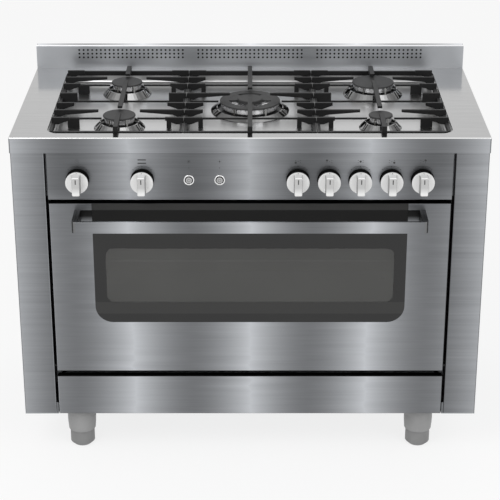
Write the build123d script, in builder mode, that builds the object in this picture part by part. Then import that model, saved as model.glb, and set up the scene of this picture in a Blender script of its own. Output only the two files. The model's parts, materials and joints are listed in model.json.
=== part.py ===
from build123d import *
import os
from math import cos, pi, radians, sin

# A free-standing gas cooker: five burners in one pressed well under three cast pan supports,
# a drop-down oven door, a storage compartment behind a drop-down flap, on four levelling feet.
# Millimetres. The origin is on the floor under the middle of the outline, with the front at -Y.

# Overall size
body_width = 1200
body_depth = 600
worktop_height = 900
foot_height = 119
handle_reach = 80

# Sheet metal and running gaps
sheet = 1.5
worktop_sheet = 2
base_sheet = 2
bend_radius = 2.5
running_gap = 0.3
pin_gap = 0.1

# Front layout, from the worktop down
skirt_height = 41
panel_height = 126
panel_gap = 9
door_height = 477
flap_gap = 15
column_width = 84
door_side_gap = 6
jamb_depth = 46
jamb_return = 14

# Hob well and its pan supports
well_side_margin = 90
well_front_margin = 34
well_back_margin = 49
well_depth = 33
well_corner = 28
well_lean = 3
well_foot_radius = 10
well_steps = 4
grate_margin = 5.5
grate_end_margin = 3
grate_gap = 2
grate_corner = 22
grate_bar = 8
grate_bar_height = 12
grate_bar_above = 2
cross_bar = 5
cross_bar_height = 4
bar_to_burner = 4
finger_height = 16
finger_thickness = 7
finger_from_burner = 53.5
finger_tip = 6
finger_neck = (30, 13)
finger_root = (18, 18)
stub_reach = 46
stub_tip = 8
stub_from_burner = 58
end_from_burner = 59.5
leg_inset = 34
wide_leg = 30
narrow_leg = 12
spine_thickness = 12
spine_post = 12
spine_tip_from_burner = 28
wok_spine_tip = 46

# Burners
burner_from_well_front = 134
burner_from_well_back = 106
burner_flare = 24
burner_shoulder = 9
skirt_wall = 2.5
burner_flange = 6.5
burner_flange_height = 3
burner_throat = 8
burner_tube_radius = 12
burner_tube_length = 28
crown_height = 13.5
crown_inset = 3
crown_wall = 9
port_pitch = 12
port_width = 2.6
port_depth = 4
cap_thickness = 4
cap_edge = 2.2
wok_slot_width = 9
wok_slot_sweep = 70
notch_width = 9
notch_lift = 4
notch_half_pair = 10
probe_stand_off = 2.8
spark_radius = 2.2
sensor_radius = 1.8
probe_above_cap_seat = 1

# Backguard
backguard_depth = 22
backguard_height = 66
backguard_inset = 1
vent_radius = 2.9
vent_columns = 25
vent_rows = 3
vent_pitch_x = 12.1
vent_pitch_z = 10.7
vent_middle = 42.3
vent_group_pitch = 334
flue_slot_width = 290
flue_slot_depth = 10

# Control panel, knobs and buttons
panel_return = 30
panel_tab_depth = 26.5
knob_below_worktop = 112
knob_pitch = 78
knob_end_inset = 76
oven_from_timer = 162
button_from_oven = 117
button_pitch = 77
bezel_radius = 29.5
bezel_depth = 3
knob_neck_radius = 21
knob_neck_depth = 14
knob_radius = 28.5
knob_disc_depth = 4.5
knob_edge = 1.5
knob_push = 4
grip_width = 22
grip_length = 51
grip_depth = 27.5
grip_corner = 5
grip_edge = 2
grip_lean = 3
spindle_radius = 4
spindle_flat = 1.2
panel_hole_gap = 2
timer_radius = 27
timer_depth = 35
button_radius = 8.6
button_groove = 1.4
button_ring_edge = 1.2
button_travel = 3
button_stand_out = 6
button_ring_radius = 13.5
button_ring_depth = 4.5
switch_barrel_radius = 12
switch_depth = 26

# Gas rail behind the panel
manifold_radius = 9
manifold_behind = 62
manifold_below_taps = 30
manifold_bend = 30
manifold_left_overhang = 22
inlet_from_side = 58
inlet_thread_radius = 10.48
inlet_thread_length = 24
tap_radius = 13
tap_start = 14
tap_end = 72
tap_leg = 16
spindle_in_tap = 20
pipe_radius = 4
pipe_bend = 12
oven_pipe_drop = 55
turn_depth = {"front_left": 38, "rear_left": 158}

# Back and base
back_recess = 40.5
back_flange = 15
louvre_length = 90
louvre_width = 6
louvre_pitch = 18
louvre_rows = 8
rear_beam_height = 34
hem = 18

# Oven
cavity_side_margin = 104
cavity_above_door_bottom = 43
cavity_below_door_top = 54
cavity_from_back = 124
flange_overlap = 11
flange_drop = 2
insulation = 30
seal_width = 14
seal_inset = 4
oven_floor_rise = 28
oven_floor_gap = 2
floor_slot_width = 14
oven_burner_radius = 8
oven_burner_margin = 110
oven_burner_rise = 13
grill_radius = 3.5
grill_drop = 20
grill_bend = 32
grill_side_margin = 80
grill_back_margin = 60
grill_front_margin = 70
grill_tail_pitch = 100
rack_wire = 2.5
rack_levels = 4
rack_first = 90
rack_last_drop = 80
shelf_level = 2
shelf_wire = 3
shelf_rod = 1.75
shelf_rods = 18

# Oven door
door_depth = 36
glass_side_margin = 108.5
glass_above_bottom = 144
glass_corner = 45
glass_thickness = 4.5
glass_set_back = 0.5
glass_gap = 0.4
glass_ledge = 12
inner_window_margin = 30
inner_window_above_bottom = 180
inner_window_below_top = 107
inner_glass_thickness = 4
inner_glass_lap = 15
handle_end_inset = 64
handle_below_door_top = 18.5
handle_height = 30.5
handle_thickness = 8
handle_bend = 10
door_axis_in = 12
door_axis_up = 12
door_pin_radius = 4
hinge_plate_thickness = 3.5
hinge_plate_height = 46

# Storage flap and its compartment
flap_depth = 20
flap_axis_in = 7
flap_axis_up = 7
flap_pin_radius = 2.5
flap_clear = 4
flap_side_clear = 1.5
storage_side_gap = 20
storage_from_back = 82
storage_drop = 2

# Feet
foot_from_side = 143
foot_from_front = 60
foot_from_back = 70
sleeve_radius = 38
sleeve_height = 72
sleeve_waist = 2
foot_radius = 32.5
foot_chamfer = 8
foot_stem_radius = 10
foot_stem_length = 40

# Places worked out from the sizes above
front = -(body_depth - handle_reach) / 2
back = front + body_depth
inner_back = back - worktop_sheet
worktop_under = worktop_height - worktop_sheet
skirt_bottom = worktop_height - skirt_height
panel_bottom = skirt_bottom - panel_height
door_top = panel_bottom - panel_gap
door_bottom = door_top - door_height
flap_top = door_bottom - flap_gap
flange_bottom = door_bottom - flange_overlap
flange_top = panel_bottom - flange_drop
base_top = foot_height + base_sheet
side_x = body_width / 2 - worktop_sheet
jamb_x = side_x - column_width
front_half = jamb_x - door_side_gap
well_width = body_width - 2 * well_side_margin
well_length = body_depth - well_front_margin - well_back_margin
well_y = front + well_front_margin + well_length / 2
front_burner_y = front + well_front_margin + burner_from_well_front
rear_burner_y = back - well_back_margin - burner_from_well_back
hob_y = (front_burner_y + rear_burner_y) / 2
burner_offset = (rear_burner_y - front_burner_y) / 2
well_floor = worktop_height - well_depth
knob_z = worktop_height - knob_below_worktop
back_panel_y = back - back_recess
timer_knob_x = knob_end_inset - front_half
oven_knob_x = timer_knob_x + oven_from_timer
last_knob_x = front_half - knob_end_inset
inlet_x = side_x - inlet_from_side
cavity_width = 2 * (jamb_x - cavity_side_margin)

# Burners: column and row in the well, cap radius, cap top above the worktop, skirt height
burners = {
    "rear_left": (-1, 1, 42, 3.5, 17),
    "front_left": (-1, -1, 42, 3.5, 17),
    "wok": (0, 0, 80, -3, 10),
    "rear_right": (1, 1, 57, 3.5, 17),
    "front_right": (1, -1, 31, 3.5, 17),
}

# Hob taps from left to right, each with the burner that it feeds
hob_taps = ["front_left", "rear_left", "wok", "front_right", "rear_right"]
tap_x = {name: last_knob_x - i * knob_pitch for i, name in enumerate(reversed(hob_taps))}
tap_x["oven"] = oven_knob_x
knob_x = {**tap_x, "timer": timer_knob_x}
light_x = oven_knob_x + button_from_oven
button_places = {"light": light_x, "ignition": light_x + button_pitch}

os.makedirs("parts", exist_ok=True)


def save(piece, name):
    piece.part.label = name
    export_step(piece.part, f"parts/{name}.step")


def facing(y):
    """Plane at depth y that faces the front, with its own x to the right and its y upwards."""
    return Plane.XZ.offset(-y)


def bent_sheet(points, thickness, side=Side.LEFT):
    """Section of a sheet that is bent along the points, with its thickness to one side."""
    with BuildLine() as line:
        Polyline(*points)
        offset(amount=thickness, side=side, kind=Kind.INTERSECTION)
    make_face(line.edges())


def outline(points):
    """Face inside a closed run of straight edges."""
    with BuildLine() as line:
        Polyline(*points, close=True)
    make_face(line.edges())


def burner_place(name):
    column, row = burners[name][:2]
    return column * grate_pitch, hob_y + row * burner_offset


# Worktop: a pressed sheet with a skirt all round and a well for the burners
grate_width = (well_width - 2 * grate_margin - 2 * grate_gap) / 3
grate_pitch = grate_width + grate_gap
grate_length = well_length - 2 * grate_end_margin


def well_section(z, inset, grow):
    with BuildSketch(Plane.XY.offset(z)) as section:
        with Locations((0, well_y)):
            width = well_width + 2 * (grow - inset)
            length = well_length + 2 * (grow - inset)
            RectangleRounded(width, length, well_corner + grow - inset)
    return section.sketch


def well_form(top, grow):
    """Sections of the well from its mouth down: a leaning wall, then a rounded foot."""
    sections = [well_section(top, 0, grow)]
    for step in range(well_steps + 1):
        turn = radians(90 * step / well_steps)
        z = well_floor + well_foot_radius * (1 - sin(turn)) - grow
        inset = well_lean + well_foot_radius * (1 - cos(turn))
        sections.append(well_section(z, inset, grow))
    return sections


with BuildPart() as worktop:
    with BuildSketch(Plane.XY.offset(skirt_bottom)):
        with Locations((0, (front - worktop_sheet + back) / 2)):
            Rectangle(body_width, body_depth + worktop_sheet)
    extrude(amount=skirt_height)
    fillet(worktop.edges().filter_by(Axis.Z), radius=2 * worktop_sheet)
    fillet(worktop.faces().sort_by(Axis.Z)[-1].edges(), radius=bend_radius)
    with BuildSketch(Plane.XY.offset(skirt_bottom)):
        with Locations((0, (front + inner_back) / 2)):
            Rectangle(2 * side_x, inner_back - front)
    extrude(amount=skirt_height - worktop_sheet, mode=Mode.SUBTRACT)
    loft(well_form(worktop_under, worktop_sheet), ruled=True)
    loft(well_form(worktop_height, 0), ruled=True, mode=Mode.SUBTRACT)
    with BuildSketch(Plane.XY.offset(worktop_height)):
        with Locations(*[burner_place(name) for name in burners]):
            Circle(burner_tube_radius + running_gap)
        with Locations((0, back - backguard_depth / 2)):
            with GridLocations(vent_group_pitch, 1, 3, 1):
                Rectangle(flue_slot_width, flue_slot_depth)
    extrude(amount=-2 * well_depth, mode=Mode.SUBTRACT)
save(worktop, "worktop")

# Backguard: a folded box, open below over the flue slots, with three groups of vent holes
backguard_front = back - backguard_depth
with BuildPart() as backguard:
    with BuildSketch(Plane.XY.offset(worktop_height)):
        with Locations((0, back - backguard_depth / 2)):
            Rectangle(body_width - 2 * backguard_inset, backguard_depth)
    extrude(amount=backguard_height)
    fillet(backguard.edges().group_by(Axis.Z)[-1], radius=bend_radius)
    with BuildSketch(Plane.XY.offset(worktop_height)):
        with Locations((0, back - backguard_depth / 2)):
            Rectangle(body_width - 2 * (backguard_inset + sheet), backguard_depth - 2 * sheet)
    extrude(amount=backguard_height - sheet, mode=Mode.SUBTRACT)
    with BuildSketch(facing(backguard_front)):
        with Locations((0, worktop_height + vent_middle)):
            with GridLocations(vent_group_pitch, 1, 3, 1):
                with GridLocations(vent_pitch_x, vent_pitch_z, vent_columns, vent_rows):
                    RegularPolygon(vent_radius, 8)
    extrude(amount=-2 * sheet, mode=Mode.SUBTRACT)
save(backguard, "backguard")

# Side panels: outer skin, front column, door jamb with its return, and a hem at the back
door_axis_y = front + door_axis_in
door_axis_z = door_bottom + door_axis_up
flap_axis_y = front + flap_axis_in
flap_axis_z = foot_height + flap_axis_up


def side_panel(side, name):
    bends = [
        (side * (jamb_x - jamb_return), front + jamb_depth),
        (side * jamb_x, front + jamb_depth),
        (side * jamb_x, front),
        (side * side_x, front),
        (side * side_x, inner_back),
        (side * (side_x - hem), inner_back),
    ]
    with BuildPart() as panel:
        with BuildSketch(Plane.XY.offset(base_top)):
            bent_sheet(bends, sheet, Side.LEFT if side > 0 else Side.RIGHT)
        extrude(amount=worktop_under - base_top)
        with BuildSketch(Plane.XY.offset(flange_top)):
            with Locations((side * (jamb_x - jamb_return / 2), front + jamb_depth)):
                Rectangle(jamb_return, 4 * sheet)
        extrude(amount=worktop_under - flange_top, mode=Mode.SUBTRACT)
        uprights = panel.edges().filter_by(Axis.Z)
        fillet(uprights.filter_by_position(Axis.Y, front - 1, front + 1), radius=bend_radius)
        with BuildSketch(Plane.YZ.offset(side * jamb_x)):
            with Locations((door_axis_y, door_axis_z)):
                Circle(door_pin_radius + pin_gap)
            with Locations((flap_axis_y, flap_axis_z)):
                Circle(flap_pin_radius + pin_gap)
        extrude(amount=side * 2 * sheet, mode=Mode.SUBTRACT)
    save(panel, name)


side_panel(-1, "side_panel_left")
side_panel(1, "side_panel_right")

# Base frame: floor sheet, notched for the flap, with a beam along the back
foot_x = side_x - foot_from_side
foot_places = {
    "front_left": (-foot_x, front + foot_from_front),
    "front_right": (foot_x, front + foot_from_front),
    "rear_left": (-foot_x, back - foot_from_back),
    "rear_right": (foot_x, back - foot_from_back),
}
base_front = front + flap_depth + flap_clear
notch_half = front_half + flap_side_clear
with BuildPart() as base_frame:
    with BuildSketch(Plane.XY.offset(foot_height)):
        with Locations((0, (front + inner_back) / 2)):
            Rectangle(2 * side_x, inner_back - front)
        with Locations((0, (front + base_front) / 2)):
            Rectangle(2 * notch_half, base_front - front, mode=Mode.SUBTRACT)
        with Locations(*foot_places.values()):
            Circle(foot_stem_radius + 1, mode=Mode.SUBTRACT)
    extrude(amount=base_sheet)
    with BuildSketch(Plane.XY.offset(base_top)):
        with Locations((0, inner_back - sheet / 2)):
            Rectangle(2 * (side_x - hem - 2), sheet)
    extrude(amount=rear_beam_height)
save(base_frame, "base_frame")

# Back panel: set in from the back edge, with flanges along its sides, louvres and the inlet hole
manifold_z = knob_z - manifold_below_taps
back_flange_x = side_x - sheet
with BuildPart() as back_panel:
    with BuildSketch(Plane.XY.offset(base_top)):
        back_bends = [
            (-back_flange_x, back_panel_y + back_flange),
            (-back_flange_x, back_panel_y - sheet),
            (back_flange_x, back_panel_y - sheet),
            (back_flange_x, back_panel_y + back_flange),
        ]
        bent_sheet(back_bends, sheet)
    extrude(amount=worktop_under - base_top)
    with BuildSketch(facing(back_panel_y)):
        with Locations((0, (base_top + worktop_under) / 2)):
            with GridLocations(body_width / 2, louvre_pitch, 2, louvre_rows):
                SlotOverall(louvre_length, louvre_width)
        with Locations((inlet_x, manifold_z)):
            Circle(manifold_radius + running_gap)
    extrude(amount=2 * sheet, mode=Mode.SUBTRACT)
save(back_panel, "back_panel")

# Control panel: a channel between the columns, with an end plate and a fixing tab at each end
switch_hole_radius = switch_barrel_radius + running_gap
with BuildPart() as control_panel:
    with BuildSketch(Plane.YZ.offset(-front_half)):
        panel_bends = [
            (front + panel_return, panel_bottom),
            (front, panel_bottom),
            (front, skirt_bottom),
            (front + panel_return, skirt_bottom),
        ]
        bent_sheet(panel_bends, sheet, Side.RIGHT)
    extrude(amount=2 * front_half)
    long_edges = control_panel.edges().filter_by(Axis.X)
    fillet(long_edges.filter_by_position(Axis.Y, front - 1, front + 1), radius=bend_radius)
    with BuildSketch(Plane.XY.offset(panel_bottom + sheet)):
        for side in (-1, 1):
            tab_bends = [
                (side * front_half, front + sheet),
                (side * front_half, front + panel_tab_depth),
                (side * jamb_x, front + panel_tab_depth),
            ]
            bent_sheet(tab_bends, sheet, Side.LEFT if side > 0 else Side.RIGHT)
    extrude(amount=panel_height - 2 * sheet)
    with BuildSketch(facing(front)):
        with Locations(*[(x, knob_z) for x in knob_x.values()]):
            Circle(spindle_radius + panel_hole_gap)
        with Locations(*[(x, knob_z) for x in button_places.values()]):
            Circle(switch_hole_radius)
    extrude(amount=-2 * sheet, mode=Mode.SUBTRACT)
save(control_panel, "control_panel")

# Burner bases: a flange on the well's floor, a throat for the crown, and a gas tube below


def burner_heights(name):
    """Heights of the skirt top, crown seat, cap seat and cap top of a burner."""
    rise, skirt = burners[name][3:]
    cap_top = worktop_height + rise
    cap_seat = cap_top - cap_thickness
    return well_floor + skirt, cap_seat - crown_height, cap_seat, cap_top


with BuildPart() as burner_bases:
    for name, (column, row, cap_radius, rise, skirt) in burners.items():
        crown_seat = burner_heights(name)[1]
        tube_end = well_floor - burner_tube_length
        with BuildSketch(Plane.XY.offset(well_floor)):
            with Locations(burner_place(name)):
                Circle(cap_radius + burner_flange)
        extrude(amount=burner_flange_height)
        with BuildSketch(Plane.XY.offset(well_floor)):
            with Locations(burner_place(name)):
                Circle(cap_radius - burner_throat)
        extrude(amount=crown_seat - well_floor)
        with BuildSketch(Plane.XY.offset(tube_end)):
            with Locations(burner_place(name)):
                Circle(burner_tube_radius)
        extrude(amount=burner_tube_length)
save(burner_bases, "burner_bases")

# Burner skirts: polished cones round the bases, with a pair of notches on the left and on the right
with BuildPart() as burner_skirts:
    for name, (column, row, cap_radius, rise, skirt) in burners.items():
        x, y = burner_place(name)
        skirt_top = burner_heights(name)[0]
        foot_r = cap_radius + burner_flare
        shoulder_r = cap_radius + burner_shoulder
        with BuildSketch(Plane((x, y, 0), x_dir=(1, 0, 0), z_dir=(0, -1, 0))):
            skirt_outline = [
                (foot_r - skirt_wall, well_floor),
                (foot_r, well_floor),
                (foot_r, well_floor + sheet),
                (shoulder_r, skirt_top),
                (shoulder_r - skirt_wall, skirt_top),
                (foot_r - skirt_wall, well_floor + sheet),
            ]
            outline(skirt_outline)
        revolve(axis=Axis((x, y, 0), (0, 0, 1)))
        with BuildSketch(Plane.XY.offset(well_floor + notch_lift)):
            for side_turn in (0, 180):
                for turn in (side_turn - notch_half_pair, side_turn + notch_half_pair):
                    with Locations((x, y)):
                        with PolarLocations(foot_r, 1, turn):
                            Rectangle(2 * burner_flare, notch_width)
        extrude(amount=skirt, mode=Mode.SUBTRACT)
save(burner_skirts, "burner_skirts")

# Burner crowns: rings with flame ports cut into their upper edge
with BuildPart() as burner_crowns:
    for name, (column, row, cap_radius, rise, skirt) in burners.items():
        skirt_top, crown_seat, cap_seat, cap_top = burner_heights(name)
        crown_radius = cap_radius - crown_inset
        ports = round(2 * pi * crown_radius / port_pitch)
        with BuildSketch(Plane.XY.offset(crown_seat)):
            with Locations(burner_place(name)):
                Circle(crown_radius)
                Circle(crown_radius - crown_wall, mode=Mode.SUBTRACT)
        extrude(amount=crown_height)
        with BuildSketch(Plane.XY.offset(cap_seat)):
            with Locations(burner_place(name)):
                with PolarLocations(crown_radius, ports):
                    Rectangle(crown_wall, port_width)
        extrude(amount=-port_depth, mode=Mode.SUBTRACT)
save(burner_crowns, "burner_crowns")

# Burner caps: flat discs with a rounded rim, the wok cap pierced by three arcs
wok_slot_radius = burners["wok"][2] / 2
with BuildPart() as burner_caps:
    for name, (column, row, cap_radius, rise, skirt) in burners.items():
        cap_seat = burner_heights(name)[2]
        with BuildSketch(Plane.XY.offset(cap_seat)):
            with Locations(burner_place(name)):
                Circle(cap_radius)
        extrude(amount=cap_thickness)
    rims = [face.edges() for face in burner_caps.faces().filter_by(Axis.Z) if face.normal_at().Z > 0]
    fillet([edge for rim in rims for edge in rim], radius=cap_edge)
    wok_x, wok_y = burner_place("wok")
    with BuildSketch(Plane.XY.offset(burner_heights("wok")[3])):
        for turn in (30, 150, 270):
            arc = CenterArc((wok_x, wok_y), wok_slot_radius, turn - wok_slot_sweep / 2, wok_slot_sweep)
            SlotArc(arc, wok_slot_width)
    extrude(amount=-cap_thickness, mode=Mode.SUBTRACT)
save(burner_caps, "burner_caps")

# Spark plugs and flame sensors, standing on each burner's flange in front of the cap
probes = {"spark_plugs": (spark_radius, -60), "flame_sensors": (sensor_radius, -120)}
probe_foot = well_floor + burner_flange_height
for node, (probe_radius, probe_turn) in probes.items():
    with BuildPart() as probe_set:
        for name, (column, row, cap_radius, rise, skirt) in burners.items():
            cap_seat = burner_heights(name)[2]
            with BuildSketch(Plane.XY.offset(probe_foot)):
                with Locations(burner_place(name)):
                    with PolarLocations(cap_radius + probe_stand_off, 1, probe_turn):
                        Circle(probe_radius)
            extrude(amount=cap_seat + probe_above_cap_seat - probe_foot)
    save(probe_set, node)

# Pan supports: a frame with thin cross bars on legs, combs of fingers and a spine over the burners
frame_top = worktop_height + grate_bar_above
frame_bottom = frame_top - grate_bar_height
cross_bar_top = frame_bottom + cross_bar_height
finger_top = worktop_height + finger_height
finger_reach = grate_width / 2 - finger_from_burner
stub_row = burner_offset - stub_from_burner
end_row = burner_offset + end_from_burner
tip_bottom = finger_top - finger_tip
grate_front = well_y - grate_length / 2
grate_back = well_y + grate_length / 2


def finger(reach, tip):
    """Outline of a finger from its root at the frame: deepest there, then a slope up to its tip."""
    return [
        (0, frame_bottom),
        (0, finger_top),
        (reach, finger_top),
        (reach, finger_top - tip),
        (finger_neck[0], finger_top - finger_neck[1]),
        (finger_root[0], finger_top - finger_root[1]),
        (grate_bar, finger_top - finger_root[1]),
        (grate_bar, frame_bottom),
    ]


def block():
    """Outline of a short finger that is as deep as the frame all along."""
    return [(0, frame_bottom), (0, finger_top), (stub_reach, finger_top), (stub_reach, frame_bottom)]


def pan_support(column, burner_rows, name):
    middle = column * grate_pitch
    edge = grate_width / 2
    own_burners = [key for key in burners if burners[key][0] == column]
    stub_rows = (stub_row, -stub_row, burner_offset, -burner_offset, end_row, -end_row)
    comb = {row: finger(stub_reach, stub_tip) for row in stub_rows}
    comb[0] = block()
    comb.update({row: finger(finger_reach, finger_tip) for row in burner_rows})
    with BuildPart() as support:
        with BuildSketch(Plane.XY.offset(frame_bottom)) as frame:
            with Locations((middle, well_y)):
                Rectangle(grate_width, grate_length)
            if column:
                fillet(frame.vertices().sort_by(Axis.X, reverse=column > 0)[:2], radius=grate_corner)
            with Locations((middle, well_y)):
                Rectangle(grate_width - 2 * grate_bar, grate_length - 2 * grate_bar, mode=Mode.SUBTRACT)
        extrude(amount=grate_bar_height)
        with BuildSketch(Plane.XY.offset(frame_bottom)):
            with Locations((middle, hob_y)):
                with GridLocations(1, burner_offset, 1, 3):
                    Rectangle(grate_width - grate_bar, cross_bar)
            for key in own_burners:
                with Locations(burner_place(key)):
                    Circle(burners[key][2] + bar_to_burner, mode=Mode.SUBTRACT)
        extrude(amount=cross_bar_height)
        for row in (-burner_offset, burner_offset):
            with BuildSketch(facing(hob_y + row)):
                for side in (-1, 1):
                    width = wide_leg if side == column else narrow_leg
                    leg_x = middle + side * (edge - leg_inset - width / 2)
                    with Locations((leg_x, (well_floor + cross_bar_top) / 2)):
                        Rectangle(width, cross_bar_top - well_floor)
            extrude(amount=finger_thickness / 2, both=True)
        for row, points in comb.items():
            with BuildSketch(facing(hob_y + row)):
                outline([(middle - edge + along, z) for along, z in points])
                outline([(middle + edge - along, z) for along, z in points])
            extrude(amount=finger_thickness / 2, both=True)
        tip = spine_tip_from_burner if column else wok_spine_tip
        last_row = burner_offset if column else 0
        front_reach = hob_y - last_row - tip - grate_front
        rear_reach = grate_back - hob_y - last_row - tip
        with BuildSketch(Plane.YZ.offset(middle)):
            outline([(grate_front + along, z) for along, z in finger(front_reach, finger_tip)])
            outline([(grate_back - along, z) for along, z in finger(rear_reach, finger_tip)])
            if column:
                with Locations((hob_y, (tip_bottom + finger_top) / 2)):
                    Rectangle(2 * (burner_offset - tip), finger_tip)
                with Locations((hob_y, (frame_bottom + finger_top) / 2)):
                    Rectangle(spine_post, finger_top - frame_bottom)
        extrude(amount=spine_thickness / 2, both=True)
    save(support, name)


pan_support(-1, (burner_offset, -burner_offset), "pan_support_left")
pan_support(0, (0,), "pan_support_centre")
pan_support(1, (burner_offset, -burner_offset), "pan_support_right")

# Gas rail: one pipe behind the panel that turns to the threaded inlet at the back
manifold_y = front + manifold_behind
inlet_end = back_panel_y + running_gap
rail_route = [
    (oven_knob_x - manifold_left_overhang, manifold_y, manifold_z),
    (inlet_x, manifold_y, manifold_z),
    (inlet_x, inlet_end, manifold_z),
]
with BuildPart() as gas_manifold:
    with BuildLine() as rail:
        FilletPolyline(*rail_route, radius=manifold_bend)
    with BuildSketch(Plane(rail.line @ 0, z_dir=rail.line % 0)):
        Circle(manifold_radius)
    sweep(path=rail.line)
    with BuildSketch(facing(inlet_end)):
        with Locations((inlet_x, manifold_z)):
            Circle(inlet_thread_radius)
    extrude(amount=-inlet_thread_length)
save(gas_manifold, "gas_manifold")

# Tap bodies: a barrel in line with each knob, saddled on the gas rail
with BuildPart() as gas_taps:
    for x in tap_x.values():
        with BuildSketch(facing(front + tap_start)):
            with Locations((x, knob_z)):
                Circle(tap_radius)
        extrude(amount=tap_start - tap_end)
        with BuildSketch(Plane.XY.offset(knob_z)):
            with Locations((x, manifold_y)):
                Rectangle(tap_leg, tap_leg)
        extrude(amount=-manifold_below_taps)
        with BuildSketch(facing(front + tap_start)):
            with Locations((x, knob_z)):
                Circle(spindle_radius + pin_gap)
        extrude(amount=-spindle_in_tap, mode=Mode.SUBTRACT)
    with BuildSketch(Plane.YZ.offset(-body_width / 2)):
        with Locations((manifold_y, manifold_z)):
            Circle(manifold_radius + pin_gap)
    extrude(amount=body_width, mode=Mode.SUBTRACT)
save(gas_taps, "gas_taps")

# Feed pipes from each tap to the tube under its burner, and down the back to the oven burner
pipe_start = front + tap_end
pipe_top = well_floor - burner_tube_length
cavity_bottom = door_bottom + cavity_above_door_bottom
cavity_top = door_top - cavity_below_door_top
cavity_height = cavity_top - cavity_bottom
cavity_front = front + jamb_depth
cavity_back = back - cavity_from_back
cavity_depth = cavity_back - cavity_front
insulation_back = cavity_back + sheet + insulation
oven_burner_z = cavity_bottom + oven_burner_rise
oven_pipe_y = (insulation_back + back_panel_y - sheet) / 2


def pipe_route(name):
    x = tap_x[name]
    start = (x, pipe_start, knob_z)
    if name == "oven":
        low = knob_z - oven_pipe_drop
        drop_y = pipe_start + 2 * pipe_bend
        return [
            start,
            (x, drop_y, knob_z),
            (x, drop_y, low),
            (x, oven_pipe_y, low),
            (0, oven_pipe_y, low),
            (0, oven_pipe_y, oven_burner_z),
            (0, insulation_back, oven_burner_z),
        ]
    to_x, to_y = burner_place(name)
    up = (to_x, to_y, pipe_top)
    if name in turn_depth:
        turn_y = pipe_start + turn_depth[name]
        return [start, (x, turn_y, knob_z), (to_x, turn_y, knob_z), (to_x, to_y, knob_z), up]
    if name == "front_right":
        return [start, (x, (pipe_start + to_y) / 2, knob_z), (to_x, to_y, knob_z), up]
    return [start, (x, to_y, knob_z), (to_x, to_y, knob_z), up]


with BuildPart() as feed_pipes:
    for name in tap_x:
        with BuildLine() as route:
            FilletPolyline(*pipe_route(name), radius=pipe_bend)
        with BuildSketch(Plane(route.line @ 0, z_dir=route.line % 0)):
            Circle(pipe_radius)
        sweep(path=route.line)
save(feed_pipes, "feed_pipes")

# Knob bezels: rings on the panel round every spindle
with BuildPart() as knob_bezels:
    with BuildSketch(facing(front)):
        with Locations(*[(x, knob_z) for x in knob_x.values()]):
            Circle(bezel_radius)
            Circle(spindle_radius + panel_hole_gap, mode=Mode.SUBTRACT)
    extrude(amount=bezel_depth)
save(knob_bezels, "knob_bezels")

# Spindles with a flat for the knob
knob_back = front - bezel_depth - knob_push - 1
disc_back = knob_back - knob_neck_depth
grip_back = disc_back - knob_disc_depth
knob_front = grip_back - grip_depth
spindle_tip = knob_front + knob_push + 3
spindle_root = front + tap_start + spindle_in_tap - running_gap
flat_start = knob_back + knob_push + running_gap


def shaft_section(x, grow):
    """Round section with a flat on its upper side."""
    with Locations((x, knob_z)):
        Circle(spindle_radius + grow)
    with Locations((x, knob_z + 2 * spindle_radius - spindle_flat + grow)):
        Rectangle(4 * spindle_radius, 2 * spindle_radius, mode=Mode.SUBTRACT)


for name, x in tap_x.items():
    with BuildPart() as spindle:
        with BuildSketch(facing(spindle_root)):
            with Locations((x, knob_z)):
                Circle(spindle_radius)
        extrude(amount=spindle_root - flat_start)
        with BuildSketch(facing(flat_start)):
            shaft_section(x, 0)
        extrude(amount=flat_start - spindle_tip)
    save(spindle, f"tap_spindle_{name}")

# Knobs: a disc on a neck, with a raised grip bar; the timer's knob has a shaft of its own
for name, x in knob_x.items():
    with BuildPart() as knob:
        with BuildSketch(facing(knob_back)):
            with Locations((x, knob_z)):
                Circle(knob_neck_radius)
        extrude(amount=knob_neck_depth)
        with BuildSketch(facing(disc_back)):
            with Locations((x, knob_z)):
                Circle(knob_radius)
        extrude(amount=knob_disc_depth)
        fillet(knob.edges().group_by(Axis.Y)[0], radius=knob_edge)
        with BuildSketch(facing(grip_back)):
            with Locations((x, knob_z)):
                RectangleRounded(grip_width, grip_length, grip_corner)
        extrude(amount=grip_depth, taper=grip_lean)
        fillet(knob.faces().sort_by(Axis.Y)[0].edges(), radius=grip_edge)
        if name == "timer":
            with BuildSketch(facing(spindle_root)):
                with Locations((x, knob_z)):
                    Circle(spindle_radius)
            extrude(amount=spindle_root - knob_back)
        else:
            with BuildSketch(facing(knob_back)):
                shaft_section(x, pin_gap)
            extrude(amount=knob_back - spindle_tip + knob_push + running_gap, mode=Mode.SUBTRACT)
    save(knob, f"knob_{name}")

# Timer: a drum on the back of the panel, bored for the knob's shaft
with BuildPart() as timer_unit:
    with BuildSketch(facing(front + sheet)):
        with Locations((timer_knob_x, knob_z)):
            Circle(timer_radius)
    extrude(amount=-timer_depth)
    with BuildSketch(facing(front + sheet)):
        with Locations((timer_knob_x, knob_z)):
            Circle(spindle_radius + pin_gap)
    extrude(amount=front + sheet - spindle_root - running_gap, mode=Mode.SUBTRACT)
save(timer_unit, "timer_unit")

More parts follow.
